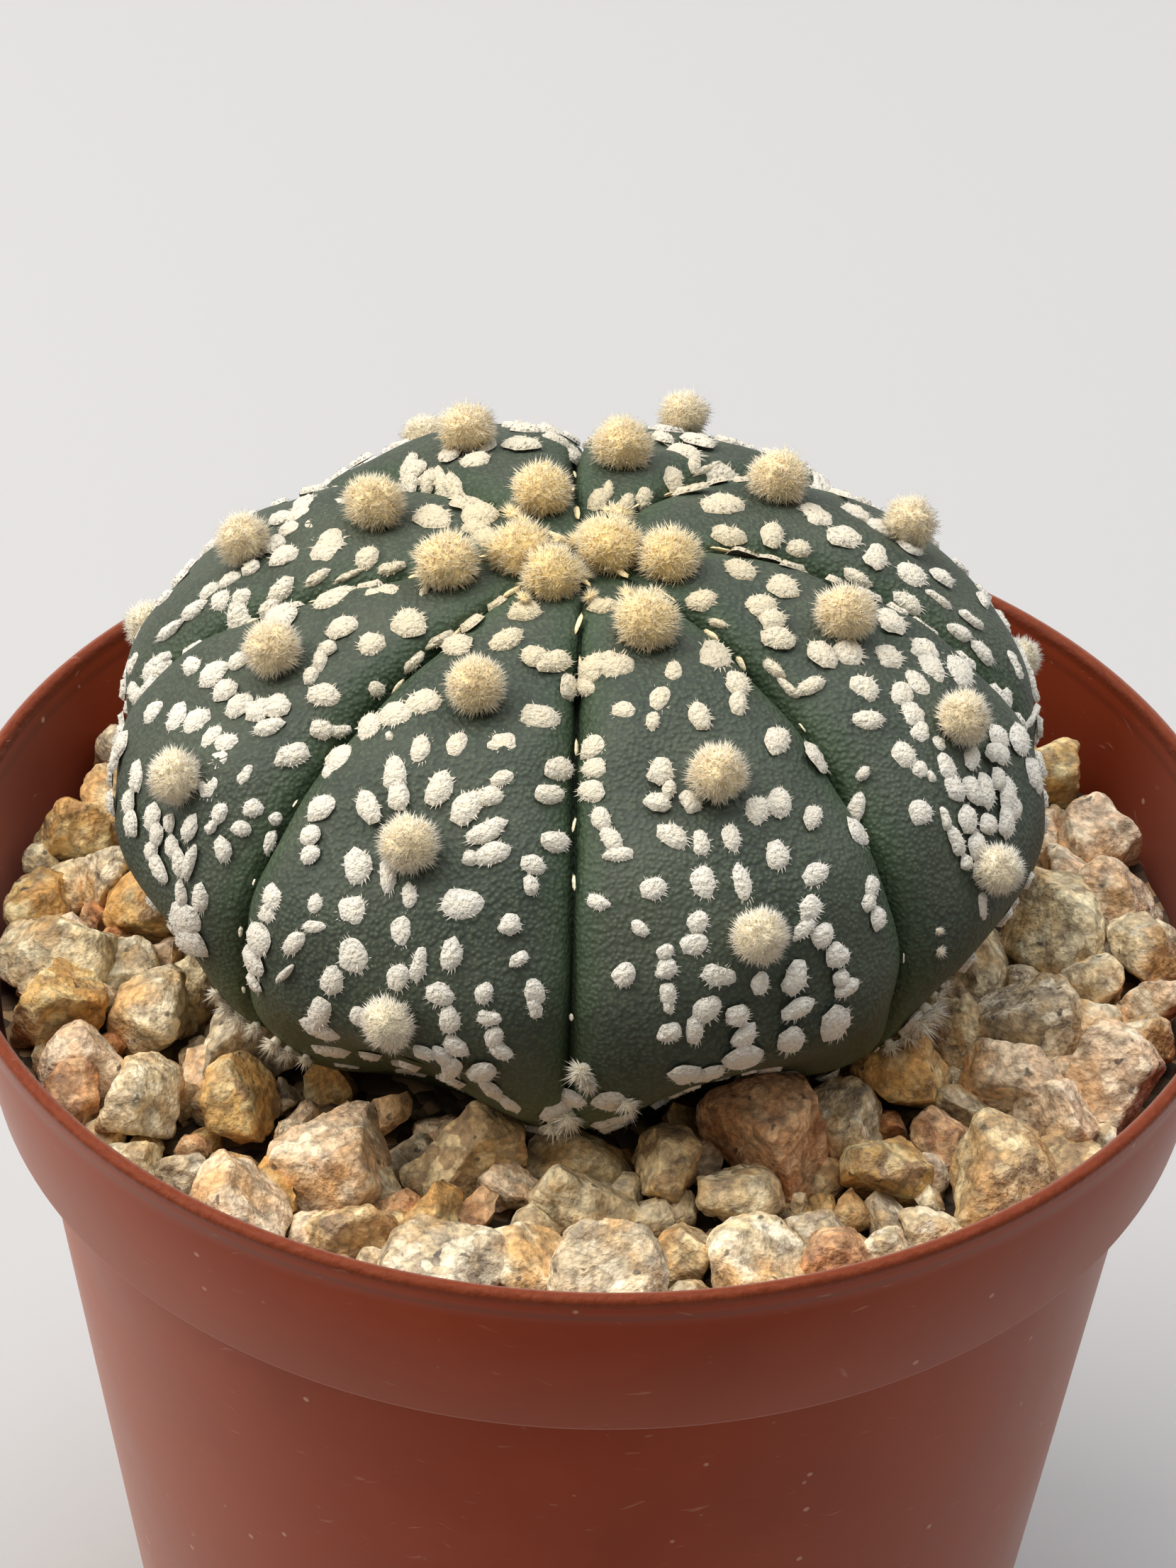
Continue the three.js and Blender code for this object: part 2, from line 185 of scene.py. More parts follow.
def add_node(material, kind, *inputs, ramp=(), out=None, **named):
    """A name that starts with a capital is a socket, and any other is a setting."""
    node = material.node_tree.nodes.new("ShaderNode" + kind)
    for name, setting in named.items():
        if name[0].islower():
            setattr(node, name, setting)
    for socket, source in zip([socket for socket in node.inputs if socket.enabled], inputs):
        fill(socket, source)
    set_inputs(node, **{name: source for name, source in named.items() if name[0].isupper()})
    for number, (place, colour) in enumerate(ramp):
        stops = node.color_ramp.elements
        stop = stops[number] if number < 2 else stops.new(place)
        stop.position = place
        stop.color = linear(colour)
    return node.outputs[out] if out else next(socket for socket in node.outputs if socket.enabled)


def new_material(name):
    """A node material with its Principled shader, and the object's own coordinates."""
    material = bpy.data.materials.new(name)
    material.use_nodes = True
    shader = material.node_tree.nodes["Principled BSDF"]
    return material, shader, add_node(material, "TexCoord", out="Object")


def per_metre(millimetres):
    """The scale of a pattern whose cells are that many millimetres wide."""
    return 1 / (millimetres * MM)


# %% [markdown]
# ## Copies with their own mesh
#
# Hairs, flecks and stones are modelled once and placed hundreds of times. Each piece must own
# its mesh, so the placed copies are written into one new mesh. A mark is a number that a whole
# copy carries, such as its age, which the material can read.


# %% Read what a modelled master is made of
def read(elements, field, kind=np.float64, width=1):
    values = np.empty(len(elements) * width, dtype=kind)
    elements.foreach_get(field, values)
    return values


def mesh_arrays(master):
    """A master's points, its corners, the number of corners of each face, and its marks."""
    mesh = master.data
    marks = {
        mark.name: read(mark.data, "value")
        for mark in mesh.attributes
        if mark.domain == "POINT" and mark.data_type == "FLOAT"
    }
    points = read(mesh.vertices, "co", width=3).reshape(-1, 3)
    corners = read(mesh.loops, "vertex_index", np.int32)
    return points, corners, read(mesh.polygons, "loop_total", np.int32), marks


def marked(arrays, **marks):
    """A master's arrays with these marks in place of its own."""
    count = len(arrays[0])
    return (*arrays[:3], {mark: np.broadcast_to(value, count) for mark, value in marks.items()})


# %% Write placed copies of masters into one new piece
def write_marks(mesh, marks):
    for mark, values in marks.items():
        mesh.attributes.new(mark, "FLOAT", "POINT").data.foreach_set("value", values)


def mesh_piece(name, points, corners, totals, marks):
    mesh = bpy.data.meshes.new(name)
    mesh.vertices.add(len(points))
    mesh.vertices.foreach_set("co", np.ravel(points))
    mesh.loops.add(len(corners))
    mesh.loops.foreach_set("vertex_index", corners)
    mesh.polygons.add(len(totals))
    mesh.polygons.foreach_set("loop_start", np.cumsum(totals) - totals)
    mesh.polygons.foreach_set("loop_total", totals)
    mesh.update(calc_edges=True)
    mesh.validate()
    write_marks(mesh, marks)
    piece = bpy.data.objects.new(name, mesh)
    bpy.context.collection.objects.link(piece)
    return piece


def placed_copies(name, copies):
    """copies is a list of (arrays of a master, 4 x 4 matrix, {mark: number})."""
    points, corners, totals, marks = [], [], [], {}
    first = 0
    for (shape, own_corners, own_totals, own_marks), matrix, given in copies:
        points.append(shape @ matrix[:3, :3].T + matrix[:3, 3])
        corners.append(own_corners + first)
        totals.append(own_totals)
        for mark, values in own_marks.items():
            marks.setdefault(mark, []).append(values)
        for mark, value in given.items():
            marks.setdefault(mark, []).append(np.full(len(shape), value))
        first += len(shape)
    joined_marks = {mark: np.concatenate(values) for mark, values in marks.items()}
    return mesh_piece(
        name, np.concatenate(points), np.concatenate(corners), np.concatenate(totals), joined_marks
    )


def placing(origin, x_axis, y_axis, z_axis, scale=(1, 1, 1)):
    matrix = np.eye(4)
    for column, (axis, length) in enumerate(zip((x_axis, y_axis, z_axis), scale)):
        matrix[:3, column] = np.asarray(axis) * length
    matrix[:3, 3] = origin
    return matrix


def turned(draw):
    """A random turn as three axes."""
    turn = Matrix.Rotation(draw(0, math.tau), 3, "Z") @ Matrix.Rotation(draw(0, math.pi), 3, "X")
    turn = turn @ Matrix.Rotation(draw(0, math.tau), 3, "Z")
    return [np.array(turn.col[i]) for i in range(3)]


# %% Finish a piece and drop its masters
def triangle_count(piece):
    return sum(len(face.vertices) - 2 for face in piece.data.polygons)


def finish_piece(piece, material, slot, *nodes, crease=None):
    """Gives a piece its material and its place on the body, and hides the imported solids that it stands
    for.
    """
    piece.data.materials.clear()
    piece.data.materials.append(material)
    start_clean()
    piece.select_set(True)
    bpy.context.view_layer.objects.active = piece
    if crease is None:
        bpy.ops.object.shade_smooth()
    else:
        bpy.ops.object.shade_smooth_by_angle(angle=math.radians(crease))
    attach(piece, "root")
    if nodes:
        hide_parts(*nodes)
    print(piece.name, "has", triangle_count(piece), "triangles")


def drop(*masters):
    for master in masters:
        bpy.data.objects.remove(master, do_unlink=True)


# %% [markdown]
# ## The camera
#
# The photograph was taken from close by, looking down at the pot. The camera's place and turn
# were found by moving it until the rim of the pot lay on the photograph's. It comes first,
# because the flecks in sight are placed by where they are in the picture.

# %% Camera at the photograph's place and angle
IMAGE_WIDTH = 1659
IMAGE_HEIGHT = 2212
FOCAL_PIXELS = 7000
SENSOR = 36
CAMERA_PLACE = Vector((0, -0.196823, 0.208962))
YAW = -0.002648
PITCH = 0.639143
ROLL = 0.028338

forward = Vector((math.sin(YAW) * math.cos(PITCH), math.cos(YAW) * math.cos(PITCH), -math.sin(PITCH)))
level = forward.cross(Vector((0, 0, 1))).normalized()
upright = level.cross(forward)
right = math.cos(ROLL) * level + math.sin(ROLL) * upright
above = -math.sin(ROLL) * level + math.cos(ROLL) * upright
camera_data = bpy.data.cameras.new("camera")
camera_data.sensor_width = SENSOR
camera_data.lens = FOCAL_PIXELS * SENSOR / IMAGE_HEIGHT
camera_data.clip_start = 0.01
camera = bpy.data.objects.new("camera", camera_data)
bpy.context.collection.objects.link(camera)
turn = Matrix((right, above, -forward)).transposed()
camera.matrix_world = Matrix.Translation(CAMERA_PLACE) @ turn.to_4x4()
bpy.context.scene.camera = camera
print("lens in mm:", round(camera_data.lens, 2))


def in_photo(points):
    """Pixels of the photograph at which points, in metres, are seen."""
    offset = np.asarray(points) - np.array(CAMERA_PLACE)
    depth = offset @ np.array(forward)
    across = IMAGE_WIDTH / 2 + FOCAL_PIXELS * (offset @ np.array(right)) / depth
    down = IMAGE_HEIGHT / 2 - FOCAL_PIXELS * (offset @ np.array(above)) / depth
    return np.stack([across, down], axis=-1)


# %% [markdown]
# ## The pot
#
# A nursery pot is injection moulded: one thin wall of constant thickness, wider towards the
# top so that it leaves the mould, with a stepped band that stiffens the rim. It is a turned
# shape, so its wall is drawn once as a profile and spun round the axis. The edges that the
# mould rounds are bevelled afterwards, and the drain holes are cut last.

# %% Draw the wall's profile and spin it
WALL = 0.8
SHELF = 48.8
POT_TOP = 58
RIM_RADIUS = 32.5
BAND_FOOT_RADIUS = 30.5
BAND_FOOT = 48
BODY_TOP_RADIUS = 28.8
BASE_RADIUS = 22.5
BASE_THICKNESS = 1
# The middle of the base is raised a little, so that the pot stands on a ring
DISH_RADIUS = 19.6
DISH_HEIGHT = 0.35
# A shallow groove runs round the band under the lip
GROOVE_HEIGHT = 56.3
GROOVE_HALF = 0.4
GROOVE_DEPTH = 0.07
SPIN_STEPS = 192


def band_outside(height):
    return mix(BAND_FOOT_RADIUS, RIM_RADIUS, (height - BAND_FOOT) / (POT_TOP - BAND_FOOT))


def band_inside(height):
    return band_outside(height) - WALL


def body_inside(height):
    return mix(BASE_RADIUS, BODY_TOP_RADIUS, height / BAND_FOOT) - WALL


groove_foot = GROOVE_HEIGHT - GROOVE_HALF
groove_top = GROOVE_HEIGHT + GROOVE_HALF
wall_profile = [
    (0, DISH_HEIGHT),
    (DISH_RADIUS, DISH_HEIGHT),
    (DISH_RADIUS + 0.5, 0),
    (BASE_RADIUS, 0),
    (BODY_TOP_RADIUS, BAND_FOOT),
    (BAND_FOOT_RADIUS, BAND_FOOT),
    (band_outside(groove_foot), groove_foot),
    (band_outside(GROOVE_HEIGHT) - GROOVE_DEPTH, GROOVE_HEIGHT),
    (band_outside(groove_top), groove_top),
    (RIM_RADIUS, POT_TOP),
    (band_inside(POT_TOP), POT_TOP),
    (band_inside(SHELF), SHELF),
    (body_inside(SHELF), SHELF),
    (body_inside(BASE_THICKNESS), BASE_THICKNESS),
    (0, BASE_THICKNESS),
]

start_clean()
bpy.ops.mesh.primitive_plane_add(size=MM)
pot = bpy.context.object
pot.name = "pot_shell"
bpy.ops.object.mode_set(mode="EDIT")
bpy.ops.mesh.select_all(action="SELECT")
bpy.ops.mesh.merge(type="CENTER")
radius, height = wall_profile[0]
bpy.ops.transform.translate(value=(radius * MM, 0, height * MM))
for next_radius, next_height in wall_profile[1:]:
    step = ((next_radius - radius) * MM, 0, (next_height - height) * MM)
    bpy.ops.mesh.extrude_region_move(TRANSFORM_OT_translate={"value": step})
    radius, height = next_radius, next_height
bpy.ops.mesh.select_all(action="SELECT")
bpy.ops.mesh.spin(steps=SPIN_STEPS, angle=math.tau, center=(0, 0, 0), axis=(0, 0, 1))
bpy.ops.mesh.select_all(action="SELECT")
bpy.ops.mesh.remove_doubles(threshold=0.01 * MM)
bpy.ops.mesh.normals_make_consistent(inside=False)
print("pot spun from", len(wall_profile), "points")

# %% Round the edges that the mould rounds
ROUNDED_RINGS = [
    (BASE_RADIUS, 0, 0.6),
    (BAND_FOOT_RADIUS, BAND_FOOT, 0.35),
    (RIM_RADIUS, POT_TOP, 0.4),
    (band_inside(POT_TOP), POT_TOP, 0.32),
    (band_inside(SHELF), SHELF, 0.3),
]

for ring_radius, ring_height, rounding in ROUNDED_RINGS:

    def on_ring(corner):
        off_radius = abs(math.hypot(corner.x, corner.y) - ring_radius)
        return off_radius < 0.02 and abs(corner.z - ring_height) < 0.02

    found = pick(pot, "EDGE", on_ring)
    bpy.ops.mesh.bevel(offset=rounding * MM, segments=4, profile=0.5, affect="EDGES")
    print("rounded", found, "edges by", rounding, "mm")
bpy.ops.object.mode_set(mode="OBJECT")

# %% Cut the six drain holes
DRAIN_HOLES = 6
DRAIN_RADIUS = 2.4
DRAIN_CIRCLE = 14

start_clean()
cutters = []
for hole in range(DRAIN_HOLES):
    azimuth = math.tau * (hole + 0.5) / DRAIN_HOLES
    centre = (DRAIN_CIRCLE * MM * math.cos(azimuth), DRAIN_CIRCLE * MM * math.sin(azimuth), 0)
    bpy.ops.mesh.primitive_cylinder_add(
        vertices=32, radius=DRAIN_RADIUS * MM, depth=4 * MM, location=centre
    )
    cutters.append(bpy.context.object)
for cutter in cutters:
    cutter.select_set(True)
bpy.ops.object.join()
cutter = bpy.context.object
start_clean()
bpy.context.view_layer.objects.active = pot
modify(pot, "BOOLEAN", object=cutter, solver="EXACT")
drop(cutter)
print("drain holes cut:", DRAIN_HOLES)

# %% [markdown]
# ## Moulded polypropylene
#
# The pot is terracotta-coloured polypropylene. Moulding leaves it satin, neither glossy nor
# dull, so light from the sides lies on it as a soft pale sheen, here painted into its colour
# where the wall is seen at a slant. Handling scuffs the lip to a brighter orange, and dust,
# lime and fine scratches catch the light on the wall. Painted shade darkens the inner wall
# and a line in the groove under the lip.

# %% Satin terracotta polypropylene with a scuffed lip
LINE_HEIGHT = 56.7

plastic, shader, place = new_material("polypropylene_moulded_satin")
mottle = add_node(plastic, "TexNoise", place, Scale=per_metre(9), Detail=3.0)
colour = add_node(plastic, "ValToRGB", mottle, ramp=[(0.3, "#7d3119"), (0.7, "#89391f")])

height = add_node(plastic, "SeparateXYZ", place, out="Z")
near_lip = add_node(plastic, "MapRange", height, 57.35 * MM, 57.75 * MM)
scuff_noise = add_node(plastic, "TexNoise", place, Scale=per_metre(0.5), Detail=5.0)
scuffed = add_node(plastic, "MapRange", scuff_noise, 0.4, 0.66, 0.2)
lip_wear = add_node(plastic, "Math", near_lip, scuffed, operation="MULTIPLY")
colour = add_node(plastic, "Mix", near_lip, colour, "#6b301c", data_type="RGBA")
colour = add_node(plastic, "Mix", lip_wear, colour, "#763822", data_type="RGBA")

# Painted shade: inside, where the wall's normal points to the axis, its colour is darkened as if in shade
facing_out = add_node(plastic, "NewGeometry", out="Normal")
flat_place = add_node(plastic, "VectorMath", place, (1.0, 1.0, 0.0), operation="MULTIPLY")
outwards = add_node(plastic, "VectorMath", flat_place, facing_out, operation="DOT_PRODUCT")
inside = add_node(plastic, "MapRange", outwards, -12 * MM, -24 * MM, 0.0, 0.4)
colour = add_node(plastic, "Mix", inside, colour, "#4c1d12", data_type="RGBA")

# Painted shade: a dark line is painted along the upper edge of the groove under the lip
from_line = add_node(plastic, "Math", height, LINE_HEIGHT * MM, operation="SUBTRACT")
from_line = add_node(plastic, "Math", from_line, operation="ABSOLUTE")
groove_painted_shade = add_node(plastic, "MapRange", from_line, 0.32 * MM, 0.08 * MM, 0.0, 0.4)
colour = add_node(plastic, "Mix", groove_painted_shade, colour, "#4c2014", data_type="RGBA")

# %% Dust and faint scuffs on the plastic
# Pale specks up to a third of a millimetre wide, one in some cells of 1.6 mm
speck_cells = add_node(plastic, "TexVoronoi", place, Scale=per_metre(1.6))
speck = add_node(plastic, "MapRange", speck_cells, 0.12, 0.07)
speck_pick = add_node(plastic, "SeparateColor", speck_cells.node.outputs["Color"])
speck_on = add_node(plastic, "Math", speck_pick, 0.72, operation="GREATER_THAN")
speck_seen = add_node(plastic, "Math", speck, speck_on, operation="MULTIPLY")

# Faint pale marks some 2 mm long and 0.2 mm wide, bent a little
bending = add_node(plastic, "TexNoise", place, Scale=per_metre(7), out="Color")
bent = add_node(
    plastic, "VectorMath", bending, (6 * MM, 6 * MM, 6 * MM), place, operation="MULTIPLY_ADD"
)
slanted = add_node(
    plastic, "Mapping", bent, Rotation=(0.0, math.radians(34), math.radians(10)),
    Scale=(per_metre(1.8), per_metre(1.8), per_metre(0.35))
)
scratch_noise = add_node(plastic, "TexNoise", slanted, Scale=1.0, Detail=4.0)
scratch = add_node(plastic, "MapRange", scratch_noise, 0.68, 0.76, 0.0, 0.45)
dust = add_node(plastic, "Math", speck_seen, scratch, operation="MAXIMUM")
dust = add_node(plastic, "Math", dust, 0.5, operation="MULTIPLY")
colour = add_node(plastic, "Mix", dust, colour, "#c9a48e", data_type="RGBA")

# Painted sheen: a pale colour where the wall is seen at a slant, standing in for the reflection of the
# pale surroundings
slant_view = add_node(plastic, "LayerWeight", Blend=0.35, out="Facing")
painted_sheen = add_node(plastic, "MapRange", slant_view, 0.28, 0.95, 0.0, 0.45)
colour = add_node(plastic, "Mix", painted_sheen, colour, "#c9a79a", data_type="RGBA")

# %% Gloss and relief of the plastic
grain = add_node(plastic, "TexNoise", place, Scale=per_metre(0.35), Detail=2.0)
roughness = add_node(plastic, "MapRange", mottle, 0.3, 0.7, 0.38, 0.5)
scuff_bump = add_node(plastic, "Math", near_lip, scuff_noise, operation="MULTIPLY")
surface = add_node(plastic, "Bump", Height=grain, Strength=0.12, Distance=0.05 * MM)
surface = add_node(plastic, "Bump", Height=scuff_bump, Normal=surface, Strength=0.6, Distance=0.25 * MM)
set_inputs(shader, Base_Color=colour, Roughness=roughness, Normal=surface, IOR=1.15)
finish_piece(pot, plastic, "pot_plastic", "pot", crease=32)

# %% [markdown]
# ## Potting mix
#
# The mix below the gravel shows only through the drain holes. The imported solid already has
# its shape, so it stays, and takes a dark, crumbly finish of peat with paler grit.

# %% Dark peat with grit for the packed soil
peat, shader, place = new_material("potting_mix_peat_and_grit")
crumbs = add_node(peat, "TexNoise", place, Scale=per_metre(1.6), Detail=6.0)
peat_colour = add_node(
    peat, "ValToRGB", crumbs, ramp=[(0.3, "#1c130d"), (0.55, "#3a2a1d"), (0.68, "#7d6a50")]
)
peat_bump = add_node(peat, "Bump", Height=crumbs, Strength=0.8, Distance=0.6 * MM)
set_inputs(shader, Base_Color=peat_colour, Normal=peat_bump, Roughness=0.95)
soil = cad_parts["soil"]
soil.data.materials.clear()
soil.data.materials.append(peat)
print("potting mix on", soil.name)

# %% [markdown]
# ## The shape of the plant
#
# The body is a flattened dome with eight broad ribs and a taproot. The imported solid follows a
# meridian from the crown to the neck and a furrow between each two ribs. The same rule is
# written here, so that the finer skin lies on the solid: a place on the plant is named by its
# rib, by how far across the rib it is (from -1 to 1), and by its distance from the crown.

# %% The meridian of the body, in millimetres
PLANT_AXIS = np.array([-1.0, 2.4, 0.0])
PLANT_RADIUS = 23.5
EQUATOR = 62.3
DOME_HEIGHT = 12.7
DOME_POWER = 2.15
CROWN_DIP = 0.7
CROWN_DIP_RADIUS = 3
UNDERSIDE_DEPTH = 13.1
NECK_RADIUS = 5.5
NECK_HEIGHT = EQUATOR - UNDERSIDE_DEPTH
ROOT_TIP = NECK_HEIGHT - 26
ROOT_TIP_RADIUS = 1.1

quarter = np.linspace(0, math.pi / 2, 201)
upper_radius = PLANT_RADIUS * np.sin(quarter) ** (2 / DOME_POWER)
dip = CROWN_DIP * np.exp(-((upper_radius / CROWN_DIP_RADIUS) ** 2))
upper_height = EQUATOR + DOME_HEIGHT * np.abs(np.cos(quarter)) ** (2 / DOME_POWER) - dip
lower_radius = NECK_RADIUS + (PLANT_RADIUS - NECK_RADIUS) * np.cos(quarter[1:])
lower_height = EQUATOR - UNDERSIDE_DEPTH * np.sin(quarter[1:])
line_radius = np.concatenate([upper_radius, lower_radius])
line_height = np.concatenate([upper_height, lower_height])
steps = np.hypot(np.diff(line_radius), np.diff(line_height))
line_distance = np.concatenate([[0], np.cumsum(steps)])
line_out = -np.gradient(line_height, line_distance)
line_up = np.gradient(line_radius, line_distance)
line_length = np.hypot(line_out, line_up)
NECK_DISTANCE = line_distance[-1]
print("meridian from crown to neck, mm:", round(NECK_DISTANCE, 1))

# %% Furrows, relief and the place of a point on the skin
RIBS = 8
FURROW_DEPTH = 1.5
FURROW_SHARPNESS = 5
FIRST_FURROW = -135
FURROW_TWIST = np.array([-4, -1, 7, 15, 17, 5, -2, 4])
TWIST_START = 6
TWIST_END = 24
TUCK = 3.2


def furrow_azimuth(furrow, distance):
    furrow = np.asarray(furrow)
    twist = FURROW_TWIST[furrow % RIBS] * (1 - smooth(distance, TWIST_START, TWIST_END))
    return np.radians(FIRST_FURROW + furrow * (360 / RIBS) + twist)


def furrow_depth(distance):
    eases = 1 - 0.5 * smooth(distance, 30, 36)
    return FURROW_DEPTH * smooth(distance, 1, 13) * eases * (1 - smooth(distance, 38, NECK_DISTANCE))


def half_width(rib, distance):
    span = furrow_azimuth(rib + 1, distance) - furrow_azimuth(rib, distance)
    return np.interp(distance, line_distance, line_radius) * span / 2


def skin(rib, across, distance, lift=0.0):
    """Points on the skin in mm, for arrays or single numbers."""
    rib, across, distance = np.broadcast_arrays(rib, across, distance)
    radius = np.interp(distance, line_distance, line_radius)
    height = np.interp(distance, line_distance, line_height)
    out = np.interp(distance, line_distance, line_out / line_length)
    up = np.interp(distance, line_distance, line_up / line_length)
    left = furrow_azimuth(rib, distance)
    azimuth = mix(left, furrow_azimuth(rib + 1, distance), (across + 1) / 2)
    relief = lift - furrow_depth(distance) * np.abs(across) ** FURROW_SHARPNESS
    tuck = TUCK * smooth(EQUATOR - height, 0, 7) * smooth(height - NECK_HEIGHT, 0, 5)
    radius = radius + out * relief - tuck * (1 - across**2) ** 2
    height = height + up * relief
    flat = np.stack([radius * np.cos(azimuth), radius * np.sin(azimuth), height], axis=-1)
    return flat + PLANT_AXIS


def skin_frame(rib, across, distance):
    """A place on the skin with the directions down the rib, outwards and along the skin."""
    here = skin(rib, across, distance)
    down = unit(skin(rib, across, distance + 0.05) - here)
    out = unit(np.cross(down, skin(rib, across + 0.05, distance) - here))
    return here, down, out, np.cross(down, out)


print("furrow azimuths near the crown:", np.degrees(furrow_azimuth(np.arange(8), 0)).round())

# %% [markdown]
# ## The body
#
# A globe has the right net for a ribbed plant: its meridians run from the crown to the root,
# so some of them can lie in the furrows. A UV sphere is added, and each of its points is moved
# to its place by the rule above, with the meridians drawn together at the furrows and a
# sharp cleft cut in each. Slow swells over the ribs keep it from looking turned on a lathe.

# %% Wrap a globe into the ribbed body
COLUMNS = 30
BODY_RINGS = 120
ROOT_RINGS = 10
CLEFT_DEPTH = 0.8
CLEFT_WIDTH = 0.19

start_clean()
bpy.ops.mesh.primitive_uv_sphere_add(
    segments=RIBS * COLUMNS, ring_count=BODY_RINGS + ROOT_RINGS, radius=1
)
body = bpy.context.object
body.name = "cactus_body"
globe, _, _, _ = mesh_arrays(body)
turn_share = (np.arctan2(globe[:, 1], globe[:, 0]) / math.tau - FIRST_FURROW / 360) % 1
column = np.rint(turn_share * RIBS * COLUMNS).astype(int) % (RIBS * COLUMNS)
ring = np.rint((0.5 - np.arcsin(np.clip(globe[:, 2], -1, 1)) / math.pi) * (BODY_RINGS + ROOT_RINGS))

rib = column // COLUMNS
even = 2 * (column % COLUMNS) / COLUMNS - 1
across = 0.2 * even + 0.8 * np.sin(math.pi / 2 * even)
distance = NECK_DISTANCE * np.minimum(ring, BODY_RINGS) / BODY_RINGS
from_furrow = (1 - np.abs(across)) * half_width(rib, distance)
cleft = CLEFT_DEPTH * np.exp(-((from_furrow / CLEFT_WIDTH) ** 2))
cleft *= smooth(distance, 2, 12) * (1 - smooth(distance, 36, NECK_DISTANCE))

swell = 0.16 * np.sin(distance * 0.55 + rib * 2.1) * (1 - across**2)
swell += 0.1 * np.sin(distance * 0.9 + across * 3.1 + rib * 4.4)
swell += 0.07 * np.sin(across * 5.3 + rib * 1.7 + distance * 0.31)
swell *= smooth(distance, 3, 12) * (1 - smooth(distance, 34, NECK_DISTANCE))
points = skin(rib, across, distance, swell - 0.12 - cleft)

root_share = np.clip((ring - BODY_RINGS) / ROOT_RINGS, 0, 1)
in_root = ring > BODY_RINGS
azimuth = mix(
    furrow_azimuth(rib, NECK_DISTANCE), furrow_azimuth(rib + 1, NECK_DISTANCE), (across + 1) / 2
)
root_radius = mix(NECK_RADIUS, ROOT_TIP_RADIUS, root_share) * (root_share < 1)
root_wave = 1 + 0.08 * np.sin(3 * azimuth + 9 * root_share)
root = np.stack(
    [
        root_radius * root_wave * np.cos(azimuth),
        root_radius * root_wave * np.sin(azimuth),
        mix(NECK_HEIGHT, ROOT_TIP, root_share),
    ],
    axis=-1,
)
points[in_root] = (root + PLANT_AXIS)[in_root]
body.data.vertices.foreach_set("co", np.ravel(points * MM))
write_marks(body.data, {"furrow_mm": from_furrow, "down_mm": distance})
body.data.update()
print("body points:", len(points), "widest, mm:", np.ptp(points[:, 0]).round(2))

# %% [markdown]
# ## The skin
#
# The skin of this cactus is thick and waxy: dark blue-green, dull rather than wet, with a fine
# pebbled grain that shows as pale freckles where it catches the light. Beside the furrows it
# is a cleaner green, and low on the ribs, where the plant ages, it turns olive brown; there it
# is also painted lighter, as painted light bounced up from the floor, and the bottom of each
# cleft carries painted shade.

# %% Waxy epidermis with a fine grain
epidermis, shader, place = new_material("cactus_epidermis_waxy")
furrow_mark = add_node(epidermis, "Attribute", attribute_name="furrow_mm", out="Fac")
down_mark = add_node(epidermis, "Attribute", attribute_name="down_mm", out="Fac")
cloud = add_node(epidermis, "TexNoise", place, Scale=per_metre(5), Detail=4.0)
skin_colour = add_node(epidermis, "ValToRGB", cloud, ramp=[(0.3, "#323a31"), (0.7, "#454b3f")])
beside_furrow = add_node(epidermis, "MapRange", furrow_mark, 1.8, 0.1, 0.0, 0.5)
skin_colour = add_node(epidermis, "Mix", beside_furrow, skin_colour, "#2f4a28", data_type="RGBA")
# Low on the ribs the skin turns olive brown with age, and is painted lighter there too: painted light
# bounced up from the floor
low_age_and_painted_light = add_node(epidermis, "MapRange", down_mark, 30.0, 40.0, 0.0, 0.6)
skin_colour = add_node(epidermis, "Mix", low_age_and_painted_light, skin_colour, "#737a50", data_type="RGBA")
pebbles = add_node(epidermis, "TexVoronoi", place, feature="SMOOTH_F1", Scale=per_metre(0.21))
freckle = add_node(epidermis, "MapRange", pebbles, 0.5, 0.1, 0.0, 0.45)
skin_colour = add_node(epidermis, "Mix", freckle, skin_colour, "#5f6a54", data_type="RGBA")
# Painted shade: the bottom of each cleft is darkened almost to black
cleft_painted_shade = add_node(epidermis, "MapRange", furrow_mark, 0.15, 0.02)
skin_colour = add_node(epidermis, "Mix", cleft_painted_shade, skin_colour, "#141b10", data_type="RGBA")
skin_bump = add_node(epidermis, "Bump", invert=True, Height=pebbles, Strength=0.8, Distance=0.14 * MM)
set_inputs(shader, Base_Color=skin_colour, Normal=skin_bump, Roughness=0.55, IOR=1.3)
finish_piece(body, epidermis, "cactus_skin", "cactus")

# %% [markdown]
# ## Woolly areoles
#
# Where other cacti carry spines, this one carries balls of wool. Each is a dense felt of fine
# hairs that stand out all round. One hair and three felted balls are modelled. The hairs are
# copied over a ball, and the balls along the ribs: cream at the crown, whiter further down.

# %% Model one hair and three balls of felt
HAIRS_PER_TUFT = 1700
HAIR_LEAN = 0.8

start_clean()
bpy.ops.mesh.primitive_cone_add(vertices=3, radius1=1, radius2=0, depth=1, location=(0, 0, 0.5))
hair = bpy.context.object
bpy.ops.object.transform_apply(location=True, rotation=True, scale=True)
bpy.ops.object.mode_set(mode="EDIT")
pick(hair, "FACE", lambda corner: corner.z < 1)
bpy.ops.mesh.delete(type="FACE")
bpy.ops.object.mode_set(mode="OBJECT")
hair_arrays = mesh_arrays(hair)
hair_arrays = marked(hair_arrays, tip=hair_arrays[0][:, 2].clip(0, 1))
drop(hair)


def placed_hair(start, along, width, length):
    """A copy of the hair that stands at a point and leans along a direction."""
    along = unit(along)
    side = unit(np.cross(along, [0.3, 0.5, 0.8]))
    scale = (width, width, length)
    return hair_arrays, placing(start, side, np.cross(along, side), along, scale), {}


